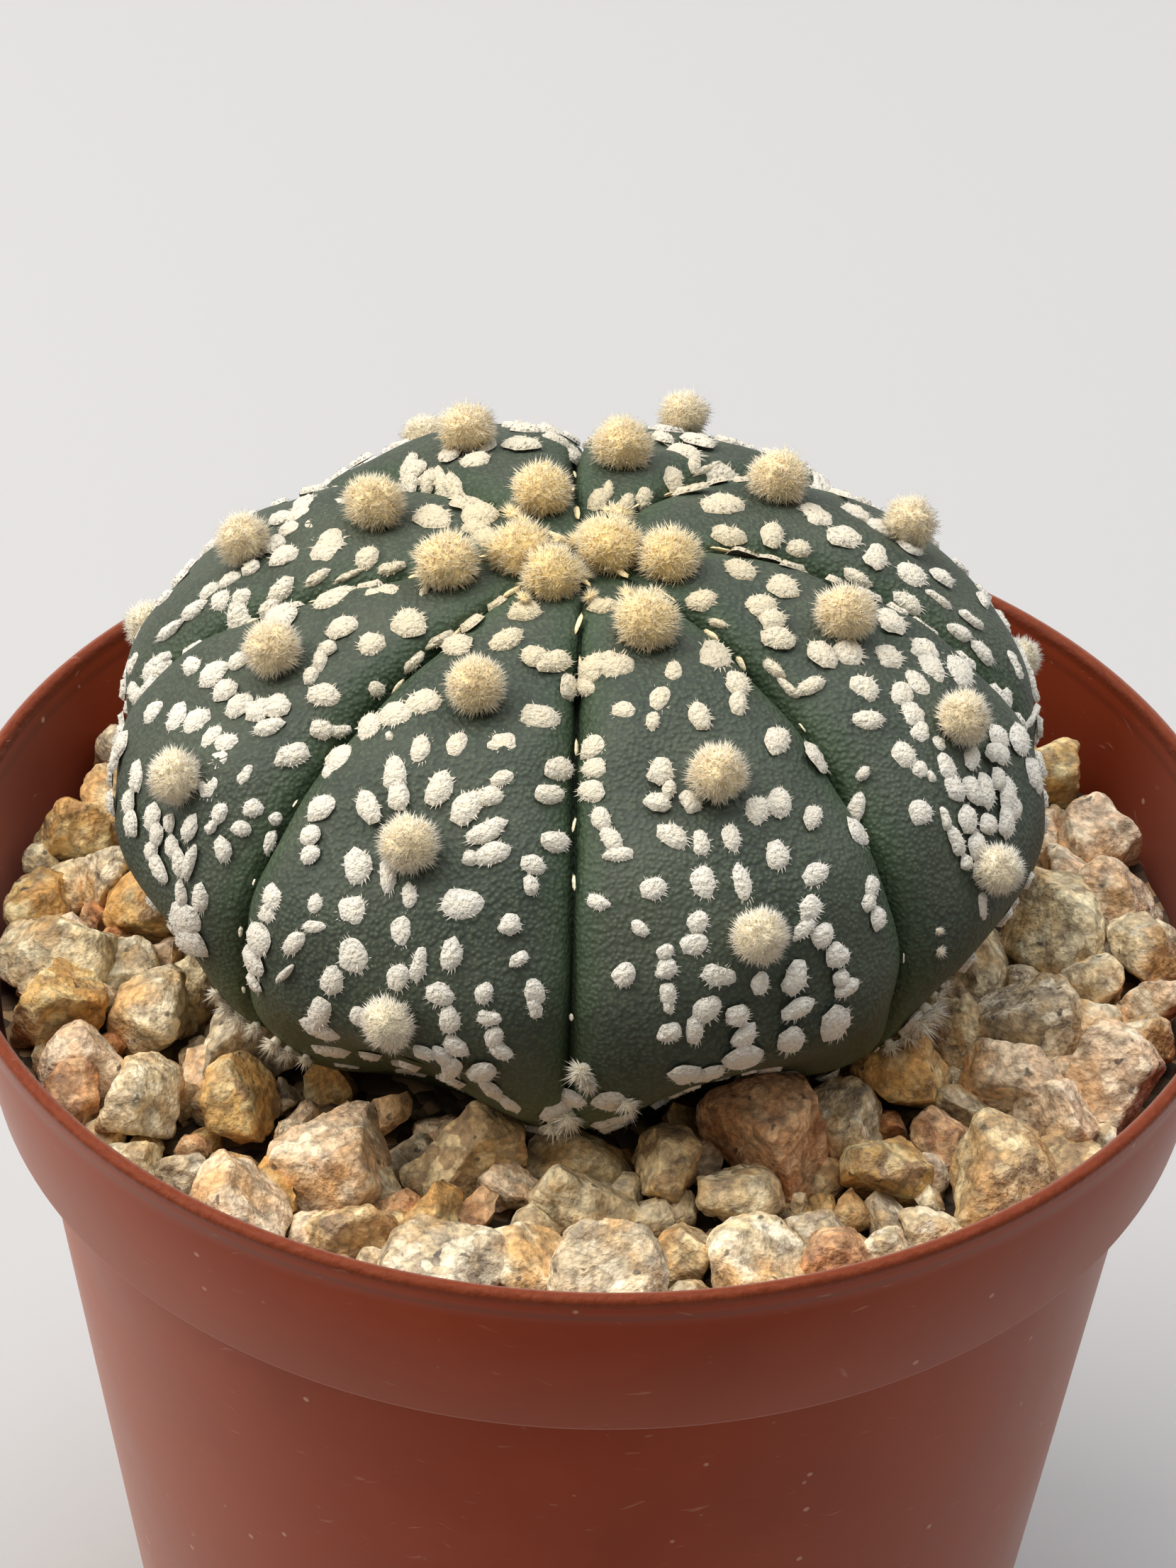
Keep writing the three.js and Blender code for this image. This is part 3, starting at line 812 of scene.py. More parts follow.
felt_lumps = solid_texture("CLOUDS", 0.55)
tuft_masters = []
for number in range(3):
    start_clean()
    bpy.ops.mesh.primitive_ico_sphere_add(subdivisions=4, radius=0.76, location=(3 * number, 0, 0))
    ball = bpy.context.object
    modify(ball, "DISPLACE", texture=felt_lumps, texture_coords="GLOBAL", mid_level=0.5, strength=0.34)
    felt = marked(mesh_arrays(ball), tip=0.1)
    draw = chance(311 + number)
    parts = [(felt, np.eye(4), {})]
    for _ in range(HAIRS_PER_TUFT):
        jitter = np.array([draw(-1, 1), draw(-1, 1), draw(-1, 1)])
        root_at = one_of(felt[0], draw) * 0.95 + jitter * 0.03
        lean = np.array([draw(-1, 1), draw(-1, 1), draw(-1, 1)]) * HAIR_LEAN
        parts.append(placed_hair(root_at, unit(root_at) + lean, 0.024, draw(0.2, 0.5)))
    tuft = placed_copies("tuft_master", parts)
    tuft_masters.append(mesh_arrays(tuft))
    drop(ball, tuft)
print("tuft masters:", [len(arrays[0]) for arrays in tuft_masters], "points")

# %% Set the tufts along the ribs and on the crown
AREOLE_RADIUS = 1.75
AREOLE_SHRINK = 0.016
AREOLE_LIFT = 0.55
# Distances from the crown down each rib, and how far each lies off the middle of its rib
AREOLES = [
    [(11.7, 0), (20.2, 0), (28.2, 0.1)],
    [(7, 0), (16.3, 0), (23.9, 0)],
    [(4.2, 0), (13, 0), (20.1, 0), (26.2, -0.4)],
    [(12.3, 0.26), (18.3, 0), (29, 0)],
    [(9.4, 0.13), (19.3, 0.27), (26.5, 0)],
    [(5.0, 0.12), (13.7, 0.17), (24.1, 0)],
    [(11.1, 0), (17.6, 0.35), (28.5, 0)],
    [(6.8, -0.35), (16, 0), (23.1, 0.31)],
]
CROWN_TUFTS = [(3.1, -119), (3.2, -167), (1.2, 1)]


def areole_size(distance):
    return AREOLE_RADIUS - AREOLE_SHRINK * distance


PLANT_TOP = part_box("cactus")[1][2] / MM
TUFT_REACH = 1.21
OLD_WOOL_AT = 29
draw = chance(77)
tufts = []


def set_tuft(centre, out, size, distance):
    """Places a felted ball with its flattened side to the skin."""
    turn = draw(0, math.tau)
    side = unit(np.cross(out, [0.2, 0.9, 0.37]))
    other = np.cross(out, side)
    first = side * math.cos(turn) + other * math.sin(turn)
    scale = (size * draw(0.93, 1.08) * MM, size * draw(0.93, 1.08) * MM, size * 0.94 * MM)
    highest = PLANT_TOP - TUFT_REACH * size
    centre = np.array([centre[0], centre[1], min(centre[2], highest)])
    matrix = placing(centre * MM, first, np.cross(out, first), out, scale)
    tufts.append((one_of(tuft_masters, draw), matrix, {"age": distance / OLD_WOOL_AT}))


for rib_number, row in enumerate(AREOLES):
    for distance, across in row:
        size = areole_size(distance)
        _, _, out, _ = skin_frame(rib_number, across, distance)
        centre = skin(rib_number, across, distance, size * AREOLE_LIFT)
        set_tuft(centre, out, size, distance)
for distance, azimuth in CROWN_TUFTS:
    size = areole_size(distance)
    radius = np.interp(distance, line_distance, line_radius)
    height = np.interp(distance, line_distance, line_height) + size * AREOLE_LIFT
    turn = math.radians(azimuth)
    centre = np.array([radius * math.cos(turn), radius * math.sin(turn), height]) + PLANT_AXIS
    set_tuft(centre, np.array([0, 0, 1.0]), size, distance)
areoles = placed_copies("areole_tufts", tufts)
print("tufts:", len(tufts))

# %% [markdown]
# ## Plant wool
#
# Wool has no shine, and light passes a little way into it, so its hollows stay warm. New wool
# at the crown is creamy yellow, and the tips of the hairs are paler than the felt below them.
# Sheen gives the soft pale edge of a hairy surface.

# %% Cream wool that bleaches with age
wool, shader, place = new_material("plant_wool_felted")
tip_mark = add_node(wool, "Attribute", attribute_name="tip", out="Fac")
age_mark = add_node(wool, "Attribute", attribute_name="age", out="Fac")
felt_colour = add_node(
    wool, "ValToRGB", age_mark, ramp=[(0.1, "#fbdc96"), (0.5, "#fae1ae"), (0.95, "#f9ebc8")]
)
tip_colour = add_node(
    wool, "ValToRGB", age_mark, ramp=[(0.1, "#fae9bd"), (0.5, "#f8ebcc"), (0.95, "#f8f0dd")]
)
wool_colour = add_node(wool, "Mix", tip_mark, felt_colour, tip_colour, data_type="RGBA")
fibre = add_node(wool, "TexNoise", place, Scale=per_metre(0.16), Detail=3.0)
wool_bump = add_node(wool, "Bump", Height=fibre, Strength=0.9, Distance=0.12 * MM)
set_inputs(shader, Base_Color=wool_colour, Normal=wool_bump, Roughness=0.95)
set_inputs(shader, Specular_IOR_Level=0.15, Sheen_Weight=0.3, Sheen_Roughness=0.5)
set_inputs(shader, Subsurface_Weight=0.18, Subsurface_Radius=(1.0, 0.8, 0.5))
set_inputs(shader, Subsurface_Scale=0.5 * MM)
finish_piece(areoles, wool, "cactus_skin", "cactus")

# %% [markdown]
# ## White flecks
#
# The flecks are flat tufts of the same wool, 1 to 2 mm across, lying on the skin like scraps
# of cotton. Six are modelled. A pad starts from a circle: its middle is inset and raised, a
# poke closes the top, and its rim is pulled in and out. Flat wisps of hair are then copied all
# round its rim and a few on its top. Each is used many times, so it has only a few dozen faces.

# %% Model one wisp and six pads with a frayed edge
PAD_SIDES = 16
PAD_INSET = 0.26
PAD_HEIGHT = 0.34
RIM_WISPS = 26
TOP_WISPS = 12

start_clean()
bpy.ops.mesh.primitive_circle_add(vertices=3, radius=1, fill_type="NGON")
wisp = bpy.context.object
bpy.ops.object.mode_set(mode="EDIT")
bpy.ops.mesh.select_all(action="SELECT")
bpy.ops.transform.translate(value=(0, 0.5, 0))
bpy.ops.transform.resize(value=(1, 2 / 3, 1), center_override=(0, 0, 0))
bpy.ops.object.mode_set(mode="OBJECT")
wisp_arrays = marked(mesh_arrays(wisp), tip=0.25)

fleck_masters = []
for number in range(6):
    draw = chance(902 + number)
    start_clean()
    bpy.ops.mesh.primitive_circle_add(vertices=PAD_SIDES, radius=1, fill_type="NGON")
    pad = bpy.context.object
    bpy.ops.object.mode_set(mode="EDIT")
    bpy.ops.mesh.select_mode(type="FACE")
    bpy.ops.mesh.select_all(action="SELECT")
    bpy.ops.mesh.inset(thickness=PAD_INSET)
    bpy.ops.transform.translate(value=(0, 0, PAD_HEIGHT))
    bpy.ops.mesh.poke()
    bpy.ops.object.mode_set(mode="OBJECT")
    waves = [(count, draw(0, math.tau), draw(0.02, 0.09)) for count in (1, 2, 3, 5)]
    for vertex in pad.data.vertices:
        around = math.atan2(vertex.co.y, vertex.co.x)
        reach = math.hypot(vertex.co.x, vertex.co.y)
        shape = 1 + sum(depth * math.sin(count * around + at) for count, at, depth in waves)
        shape *= 0.98 + 0.08 * draw(-1, 1) * (reach > 0.95)
        if 0.1 < reach < 0.95:
            vertex.co.z += 0.06 * draw(-1, 1)
        vertex.co.x *= shape
        vertex.co.y *= shape
    pad_arrays = mesh_arrays(pad)
    reach = np.hypot(*pad_arrays[0][:, :2].T)
    parts = [(marked(pad_arrays, tip=np.clip(1.25 - reach, 0, 1)), np.eye(4), {})]
    for wisp_number in range(RIM_WISPS + TOP_WISPS):
        on_rim = wisp_number < RIM_WISPS
        around = math.tau * (wisp_number + draw(-0.9, 0.9)) / (RIM_WISPS if on_rim else TOP_WISPS)
        outwards = np.array([math.cos(around), math.sin(around), 0])
        beside = np.array([-outwards[1], outwards[0], 0])
        along = outwards + beside * draw(-0.6, 0.6)
        along[2] = draw(0.0, 0.25) if on_rim else draw(0.2, 0.6)
        along = unit(along)
        side = unit(np.cross([0, 0, 1], along))
        start = outwards * (draw(0.66, 0.8) if on_rim else draw(0.15, 0.6))
        start[2] = 0.16 if on_rim else 0.3
        scale = (0.07, draw(0.2, 0.48) if on_rim else draw(0.25, 0.42), 1)
        parts.append((wisp_arrays, placing(start, side, along, np.cross(side, along), scale), {}))
    fleck = placed_copies("fleck_master", parts)
    fleck_masters.append(mesh_arrays(fleck))
    drop(pad, fleck)
drop(wisp)
print("flecks:", len(fleck_masters), "of", len(fleck_masters[0][2]), "faces")

# %% [markdown]
# ## The flecks in sight
#
# The pattern of its flecks is what tells one plant from another, so those in sight are laid
# where the photograph has them. Each was measured, in pixels: the place of its middle,
# its length and width, and how far its length slants clockwise from upright. A fine net of
# places on the skin is carried into the picture, and each fleck takes the nearest one.

# %% Flecks measured in the photograph, left in front: x, y, length, width, slant
FRONT_LEFT_FLECKS = [
    (558, 1009, 52, 36, 60), (595, 989, 56, 36, 68), (522, 1022, 28, 26, 0), (761, 1011, 58, 36, 90),
    (593, 1058, 45, 33, 5), (646, 1051, 42, 33, 15), (712, 1049, 48, 40, 90), (794, 1084, 45, 38, 70),
    (778, 1118, 42, 31, 80), (557, 1087, 52, 36, -5), (563, 1120, 46, 34, -10), (621, 1111, 52, 38, 25),
    (711, 1096, 38, 26, 60), (661, 1139, 56, 40, 20), (688, 1121, 48, 30, 70), (452, 1136, 36, 35, 0),
    (517, 1139, 52, 31, -38), (437, 1177, 31, 26, 5), (437, 1205, 31, 26, 5), (378, 1188, 35, 21, 20),
    (507, 1221, 52, 40, -15), (544, 1234, 52, 28, -10), (687, 1170, 66, 30, 62),
    (692, 1202, 60, 31, 62), (660, 1210, 28, 24, 0), (782, 1186, 43, 31, 90), (751, 1222, 38, 24, 90),
    (754, 1250, 31, 28, 0), (581, 1267, 42, 29, -10), (650, 1273, 60, 46, 85), (444, 1273, 33, 28, 0),
    (381, 1267, 38, 24, 30), (374, 1288, 28, 21, 0), (361, 1326, 48, 26, 10), (354, 1358, 31, 24, 5),
    (499, 1283, 45, 42, 0), (567, 1312, 48, 35, 0), (440, 1308, 34, 20, 90), (418, 1330, 44, 22, 42),
    (721, 1307, 29, 28, 0), (501, 1351, 59, 43, -15), (635, 1347, 48, 38, 15), (593, 1364, 52, 28, 10),
    (562, 1377, 48, 28, 0), (730, 1351, 29, 17, 60), (466, 1385, 40, 38, -45), (399, 1375, 28, 12, 45),
    (357, 1389, 10, 10, 0), (624, 1404, 45, 35, 90), (685, 1403, 35, 31, 0), (752, 1399, 38, 28, -30),
    (756, 1420, 34, 26, -30), (450, 1431, 40, 32, 30), (450, 1455, 38, 26, 90), (467, 1485, 40, 14, 90),
    (502, 1434, 30, 26, 0), (492, 1513, 44, 17, 90), (634, 1440, 44, 33, 0), (639, 1477, 42, 26, -60),
    (687, 1435, 36, 26, 90), (696, 1462, 32, 29, 0), (705, 1485, 36, 22, -60), (597, 1486, 37, 14, -60),
    (623, 1494, 36, 16, -45), (634, 1512, 30, 22, 0), (571, 1512, 36, 15, -70), (585, 1538, 36, 14, 80),
    (678, 1516, 37, 26, -60), (696, 1538, 44, 15, -40), (718, 1560, 32, 11, -45),
    (549, 1040, 14, 12, 0), (806, 1552, 44, 22, 90), (792, 1572, 64, 34, 95), (786, 1590, 54, 26, 100),
    (868, 1555, 58, 28, 80), (866, 1580, 60, 18, 75), (620, 904, 44, 12, 60), (585, 932, 42, 16, 42),
    (664, 878, 40, 26, 60), (644, 907, 42, 22, 60), (700, 850, 34, 13, 65), (741, 860, 50, 32, 80),
    (713, 901, 50, 28, 55), (752, 925, 38, 32, 90), (785, 932, 52, 34, 75), (803, 968, 34, 28, -45),
    (476, 1072, 50, 24, 52), (463, 1086, 16, 12, 0),
]

# %% Flecks measured on the right in front
FRONT_RIGHT_FLECKS = [
    (836, 938, 40, 40, 0), (866, 938, 50, 38, 90), (951, 946, 32, 30, 0), (1011, 924, 45, 45, 0),
    (824, 968, 28, 24, 45), (880, 1003, 45, 33, 80), (929, 986, 42, 36, 20), (921, 1018, 31, 24, 0),
    (987, 1007, 48, 31, -25), (1041, 964, 36, 36, 0), (1043, 992, 38, 26, -5), (1100, 1045, 42, 36, 20),
    (1154, 1069, 40, 31, -10), (836, 1054, 35, 36, 0), (836, 1085, 36, 30, 90), (833, 1115, 36, 32, 90),
    (933, 1088, 38, 38, 0), (947, 1111, 28, 22, 0), (928, 1129, 38, 28, 90), (973, 1127, 33, 28, -45),
    (850, 1155, 38, 31, -40), (866, 1181, 42, 31, -35), (871, 1205, 45, 22, 90),
    (954, 1177, 52, 38, -60), (989, 1188, 42, 28, -5), (1031, 1182, 48, 29, -20),
    (1072, 1139, 45, 35, 0), (1098, 1130, 52, 35, 10), (1147, 1150, 38, 26, 20),
    (1207, 1139, 35, 24, 30), (1214, 1177, 42, 31, -10), (1096, 1210, 48, 38, 0),
    (1155, 1236, 48, 29, 45), (990, 1247, 55, 35, -25), (1047, 1247, 60, 29, -15),
    (920, 1255, 35, 35, 0), (845, 1274, 33, 24, -60), (900, 1312, 35, 22, -60),
    (1228, 1250, 31, 21, 20), (1225, 1273, 28, 24, -40), (1240, 1297, 28, 24, -45),
    (1148, 1283, 40, 30, 40), (1132, 1311, 40, 28, 45), (1162, 1319, 42, 33, 30),
    (986, 1302, 36, 38, 0), (985, 1330, 36, 38, 0), (942, 1344, 28, 30, 0), (944, 1368, 31, 31, 0),
    (942, 1402, 38, 30, 0), (882, 1375, 38, 31, 30), (1013, 1377, 48, 35, 90), (1072, 1388, 31, 26, 0),
    (1122, 1382, 52, 36, 10), (1188, 1350, 38, 31, 45), (1192, 1382, 28, 24, 60),
    (1200, 1394, 40, 22, 55), (944, 1420, 26, 24, 0), (944, 1457, 32, 24, 70), (1000, 1426, 44, 33, 20),
    (986, 1457, 40, 26, 0), (1042, 1435, 33, 31, 0), (1048, 1464, 44, 33, 30), (1050, 1494, 52, 34, 90),
    (1125, 1423, 54, 26, 60), (1118, 1472, 44, 32, 70), (1180, 1447, 40, 36, 0),
    (964, 1518, 40, 22, 60), (960, 1541, 30, 14, 70), (1000, 1516, 34, 18, 60), (942, 1571, 30, 10, 45),
    (1044, 1527, 26, 18, 0), (1105, 1516, 24, 12, 60), (851, 854, 46, 22, 80), (900, 845, 20, 14, 0),
]

# %% Flecks measured on the right
RIGHT_FLECKS = [
    (1050, 786, 44, 19, 80), (1085, 793, 44, 18, 95), (1120, 796, 40, 16, 95), (1106, 826, 52, 28, -60),
    (1074, 852, 44, 38, -50), (1090, 870, 36, 30, -50), (1100, 898, 48, 34, 80),
    (1210, 812, 44, 23, -60), (1282, 848, 44, 23, -50), (1258, 874, 44, 23, -35),
    (1258, 924, 44, 31, -35), (1163, 924, 44, 38, 90), (1200, 918, 40, 34, -20),
    (1220, 966, 46, 35, -70), (1228, 1014, 44, 28, 90), (1088, 942, 38, 18, -50),
    (1112, 972, 44, 14, -45), (1142, 967, 44, 22, 60), (1308, 918, 34, 30, -15),
    (1318, 942, 42, 32, -15), (1296, 964, 50, 28, -30), (1274, 978, 42, 34, -50),
    (1292, 1008, 42, 32, -35), (1302, 1034, 34, 28, 0), (1356, 946, 52, 23, -20),
    (1356, 890, 44, 17, -60), (1388, 918, 46, 22, -35), (1325, 845, 44, 8, -62),
    (1370, 872, 46, 8, -55), (1434, 940, 52, 13, -25), (1420, 986, 36, 20, -15),
    (1468, 1012, 56, 11, -20), (1442, 1042, 38, 17, 0), (1412, 1038, 30, 24, -5),
    (1412, 1064, 30, 24, -5), (1326, 1048, 28, 20, -45), (1376, 1068, 36, 22, 0),
    (1408, 1098, 32, 14, 0), (1460, 1094, 58, 17, -10), (1278, 1062, 46, 28, -40),
    (1298, 1082, 34, 24, -40), (1312, 1096, 20, 14, -40), (1336, 1080, 48, 26, -20),
    (1350, 1110, 44, 26, -20), (1374, 1112, 48, 23, -15), (1392, 1114, 48, 18, -10),
    (1424, 1120, 50, 18, 3), (1436, 1140, 34, 14, 10), (1422, 1160, 50, 16, 5),
    (1302, 1142, 40, 28, -40), (1335, 1155, 38, 17, -20), (1350, 1188, 44, 17, -22),
    (1365, 1216, 26, 16, -10), (1368, 1158, 46, 22, -15), (1382, 1192, 48, 22, -15),
    (1396, 1166, 38, 24, -10), (1222, 1090, 28, 20, 40), (1388, 1230, 36, 22, 0),
    (1384, 1280, 44, 11, 5), (990, 847, 44, 30, 60), (1012, 880, 34, 12, -70), (1042, 802, 48, 26, -75),
    (1404, 1060, 24, 14, 0),
]

# %% Flecks measured on the far side
RIGHT_BACK_FLECKS = [
    (1090, 754, 42, 33, 5), (1126, 774, 34, 26, 80), (1154, 726, 52, 33, -50), (1194, 756, 46, 36, 90),
    (1208, 720, 46, 26, -70), (1244, 742, 30, 22, -45), (1238, 784, 36, 34, 0), (1288, 808, 38, 30, 90),
    (1286, 770, 34, 17, -50), (1332, 812, 26, 13, -30), (1424, 872, 38, 9, -40),
    (1455, 925, 46, 9, -30), (1170, 664, 36, 13, -60), (1168, 678, 52, 13, -75),
    (1164, 698, 36, 15, -75), (1031, 754, 48, 30, 90), (1020, 709, 58, 29, 70), (1020, 676, 50, 19, 75),
    (968, 698, 58, 22, 72), (968, 638, 48, 23, -45), (980, 655, 28, 16, 0), (988, 620, 34, 24, -50),
    (952, 674, 34, 27, 10), (998, 662, 50, 9, 62), (934, 615, 30, 22, 90), (948, 604, 38, 11, 80),
    (1030, 612, 36, 8, -65), (1225, 690, 30, 9, -60), (1390, 846, 24, 9, -45), (1100, 610, 40, 14, -60),
    (1150, 640, 44, 14, -62), (1195, 668, 40, 14, -60),
]
BACK_FLECKS = [
    (635, 638, 30, 19, 90), (671, 647, 44, 28, 90), (686, 626, 26, 13, 90), (736, 624, 42, 17, -75),
    (740, 604, 40, 10, 90), (772, 606, 36, 9, -70), (788, 620, 26, 8, -45), (812, 642, 34, 13, 40),
    (826, 618, 30, 12, 35), (844, 703, 34, 26, 20), (858, 690, 24, 18, 10), (885, 707, 28, 22, 30),
    (909, 703, 32, 24, 30), (603, 678, 38, 15, 80), (640, 688, 38, 20, -60), (662, 708, 34, 13, -50),
    (683, 730, 24, 8, -40), (576, 656, 36, 13, 20), (612, 727, 52, 26, -60), (688, 756, 46, 26, -60),
    (670, 742, 30, 20, -60), (601, 682, 34, 18, 60), (622, 684, 34, 20, 30), (640, 692, 36, 20, 20),
    (660, 708, 34, 18, -40), (676, 722, 32, 16, -45), (583, 662, 36, 18, 35), (575, 676, 30, 16, 40),
]
LEFT_BACK_FLECKS = [
    (463, 764, 42, 38, 10), (455, 734, 38, 17, 75), (400, 781, 48, 20, 60), (423, 725, 46, 15, 65),
    (407, 746, 38, 15, 65), (387, 766, 38, 17, 65), (430, 710, 36, 12, 60), (475, 712, 34, 14, 60),
    (474, 696, 34, 11, 75), (445, 698, 26, 10, 65), (518, 786, 32, 30, 0), (549, 803, 38, 17, 75),
    (491, 813, 44, 15, 65), (445, 814, 44, 17, 60), (394, 835, 48, 29, 45), (382, 858, 40, 17, 45),
    (394, 869, 38, 24, 30), (352, 800, 26, 13, 65), (322, 816, 36, 14, 55), (292, 834, 38, 11, 50),
    (274, 862, 46, 15, 55), (236, 888, 46, 11, 50), (312, 846, 34, 30, 0), (340, 840, 30, 26, 20),
    (338, 874, 38, 17, 60), (188, 936, 34, 9, 35), (600, 832, 22, 8, 30), (397, 728, 30, 14, 55),
    (440, 742, 30, 14, 65),
]

# %% Flecks measured on the left
LEFT_FLECKS = [
    (473, 842, 60, 26, 60), (536, 840, 50, 20, 60), (482, 883, 48, 27, 50), (578, 874, 50, 38, -60),
    (520, 908, 42, 36, 90), (462, 913, 30, 17, 70), (450, 930, 30, 18, 15), (437, 952, 24, 20, 0),
    (458, 978, 52, 32, 85), (534, 972, 28, 24, 45), (455, 1024, 42, 30, -70), (482, 1030, 30, 20, 80),
    (414, 1068, 56, 38, 70), (392, 994, 40, 32, 60), (366, 1000, 40, 34, 60), (376, 1026, 46, 20, 75),
    (334, 994, 46, 26, 35), (300, 950, 40, 26, 25), (316, 974, 42, 24, 45), (338, 932, 34, 19, 45),
    (268, 940, 34, 17, 40), (228, 930, 28, 20, 60), (218, 952, 46, 11, 45), (192, 982, 32, 10, 40),
    (214, 1006, 36, 14, 20), (248, 1012, 44, 24, 5), (276, 1016, 50, 26, 30), (296, 1042, 46, 22, 25),
    (318, 1048, 42, 30, 30), (308, 1072, 40, 28, 60), (182, 1028, 26, 11, 20), (168, 1050, 40, 11, 15),
    (160, 1072, 24, 10, 15), (154, 1092, 26, 9, 0), (190, 1092, 40, 14, 0), (294, 1110, 42, 28, 45),
    (344, 1092, 40, 20, 30), (308, 1144, 34, 19, 20), (296, 1166, 24, 16, 20), (354, 1140, 34, 28, 60),
    (336, 1168, 30, 28, 0), (316, 1202, 40, 25, -20), (178, 1134, 40, 15, -5), (184, 1162, 40, 14, -10),
    (214, 1150, 34, 20, -5), (218, 1176, 34, 19, -5), (214, 1200, 32, 16, -5), (240, 1160, 28, 14, 0),
    (264, 1168, 44, 21, 20), (240, 1192, 36, 18, 0), (250, 1216, 44, 16, -5), (254, 1260, 46, 15, -5),
    (258, 1302, 38, 14, -5), (266, 1216, 54, 13, 10), (280, 1268, 44, 19, 5), (268, 1330, 30, 13, 0),
    (222, 1226, 44, 15, -35), (390, 1157, 20, 14, 30),
]

measured = FRONT_LEFT_FLECKS + FRONT_RIGHT_FLECKS + RIGHT_FLECKS + RIGHT_BACK_FLECKS
measured += BACK_FLECKS + LEFT_BACK_FLECKS + LEFT_FLECKS
print("flecks measured:", len(measured))

# %% Find the place on the skin behind a pixel
SEEN_AT_A_SLANT = 0.03

# A net on the skin: 61 lines down each rib, with a place every 0.2 mm
lines_down = np.linspace(-0.985, 0.985, 61)
net = np.meshgrid(np.arange(RIBS), lines_down, np.arange(0.6, 44, 0.2), indexing="ij")
net_ribs, net_across, net_distance = [axis.ravel() for axis in net]
net_points = skin(net_ribs, net_across, net_distance) * MM
net_out = skin(net_ribs, net_across, net_distance, 0.5) * MM - net_points
to_camera = np.array(CAMERA_PLACE) - net_points
turned_here = np.einsum("ij,ij->i", net_out, to_camera)
turned_here /= np.linalg.norm(net_out, axis=1) * np.linalg.norm(to_camera, axis=1)
in_sight = turned_here > SEEN_AT_A_SLANT
net_pixels = in_photo(net_points)[in_sight]
sight_points = net_points[in_sight] / MM
sight_places = np.stack([net_ribs, net_across, net_distance], axis=1)[in_sight]
print("net places in sight:", int(in_sight.sum()), "of", len(in_sight))


def nearest_place(x, y):
    """The place on the skin nearest to a pixel, and its point in mm."""
    number = np.argmin((net_pixels[:, 0] - x) ** 2 + (net_pixels[:, 1] - y) ** 2)
    rib_number, across, distance = sight_places[number]
    return (int(rib_number), across, distance), sight_points[number]


def span(x, y, length, slant):
    """The step along the skin between the two ends of a line in the picture."""
    turn = math.radians(slant)
    half_x, half_y = length / 2 * math.sin(turn), -length / 2 * math.cos(turn)
    return nearest_place(x + half_x, y + half_y)[1] - nearest_place(x - half_x, y - half_y)[1]


# %% Lay the measured flecks on the skin
FLECK_LENGTHS = (0.5, 2.6)
FLECK_WIDTHS = (0.4, 1.9)
FLECK_THICKNESS = 0.8
FLECK_SINK = 0.14
draw = chance(4111)
flecks = []
fleck_places = []


def scrap(master, place, direction, length, width, height, lift):
    """A copy that lies on the skin at a place, its length along a direction."""
    here, _, out, _ = skin_frame(*place)
    along = unit(direction - out * np.dot(direction, out))
    scale = (length / 2 * MM, width / 2 * MM, height * MM)
    matrix = placing((here + lift * out) * MM, along, np.cross(out, along), out, scale)
    return master, matrix, {"age": place[2] / OLD_WOOL_AT}


def set_fleck(place, direction, length, width):
    """Lays a fleck on the skin and remembers where it is."""
    master = one_of(fleck_masters, draw)
    flecks.append(scrap(master, place, direction, length, width, FLECK_THICKNESS, -FLECK_SINK))
    fleck_places.append(skin(*place))


for x, y, length, width, slant in measured:
    along = span(x, y, length, slant)
    real_length = np.linalg.norm(along)
    real_width = np.linalg.norm(span(x, y, width, slant + 90))
    if real_length > 0:
        place, _ = nearest_place(x, y)
        sizes = np.clip(real_length, *FLECK_LENGTHS), np.clip(real_width, *FLECK_WIDTHS)
        set_fleck(place, along, *sizes)
print("flecks in sight:", len(flecks))

# %% Strew the flecks that the picture doesn't show
FLECK_TRIES = 1100
FLECK_ZONE = (7, 40)
OUT_OF_SIGHT = 0.08
FURROW_MARGIN = 0.7
# Flecks keep this far apart, and further where the plant is old
FLECK_ROOM = 1.45
OLD_ROOM = 0.5
OLD_FROM = 33
# Round each tuft they start at its edge, are thickest in a ring, and point away from it
SPARSE = 0.35
TUFT_EDGE = 2.2
RING_RADIUS = 2.6
RING_WIDTH = 2.4
POINTING_REACH = 4.5
STREWN_LENGTHS = (1.2, 2.0)
STREWN_WIDTHS = (0.9, 1.3)

for rib_number, row in enumerate(AREOLES):
    for _ in range(FLECK_TRIES):
        distance = draw(*FLECK_ZONE)
        across = draw(-1, 1)
        wide = float(half_width(rib_number, distance))
        here, down, out, over = skin_frame(rib_number, across, distance)
        away = np.array(CAMERA_PLACE) / MM - here
        facing = float(np.dot(out, away) / np.linalg.norm(away))
        if facing > OUT_OF_SIGHT or abs(across) > 1 - FURROW_MARGIN / wide:
            continue
        offset = across * wide
        gaps = [math.hypot(distance - at, offset - off * wide) for at, off in row]
        nearest = min(gaps)
        wanted = mix(SPARSE, 1, math.exp(-(((nearest - RING_RADIUS) / RING_WIDTH) ** 2)))
        room = FLECK_ROOM + OLD_ROOM * (distance > OLD_FROM)
        crowded = any(np.linalg.norm(here - other) < room for other in fleck_places)
        if nearest < TUFT_EDGE or crowded or draw() > wanted:
            continue
        at, off = row[gaps.index(nearest)]
        if nearest < POINTING_REACH:
            direction = down * (distance - at) + over * (off * wide - offset)
        else:
            direction = down + over * draw(-0.5, 0.5)
        place = (rib_number, across, distance)
        set_fleck(place, direction, draw(*STREWN_LENGTHS), draw(*STREWN_WIDTHS))
print("flecks in all:", len(flecks))

white_flecks = placed_copies("wool_flecks", flecks)

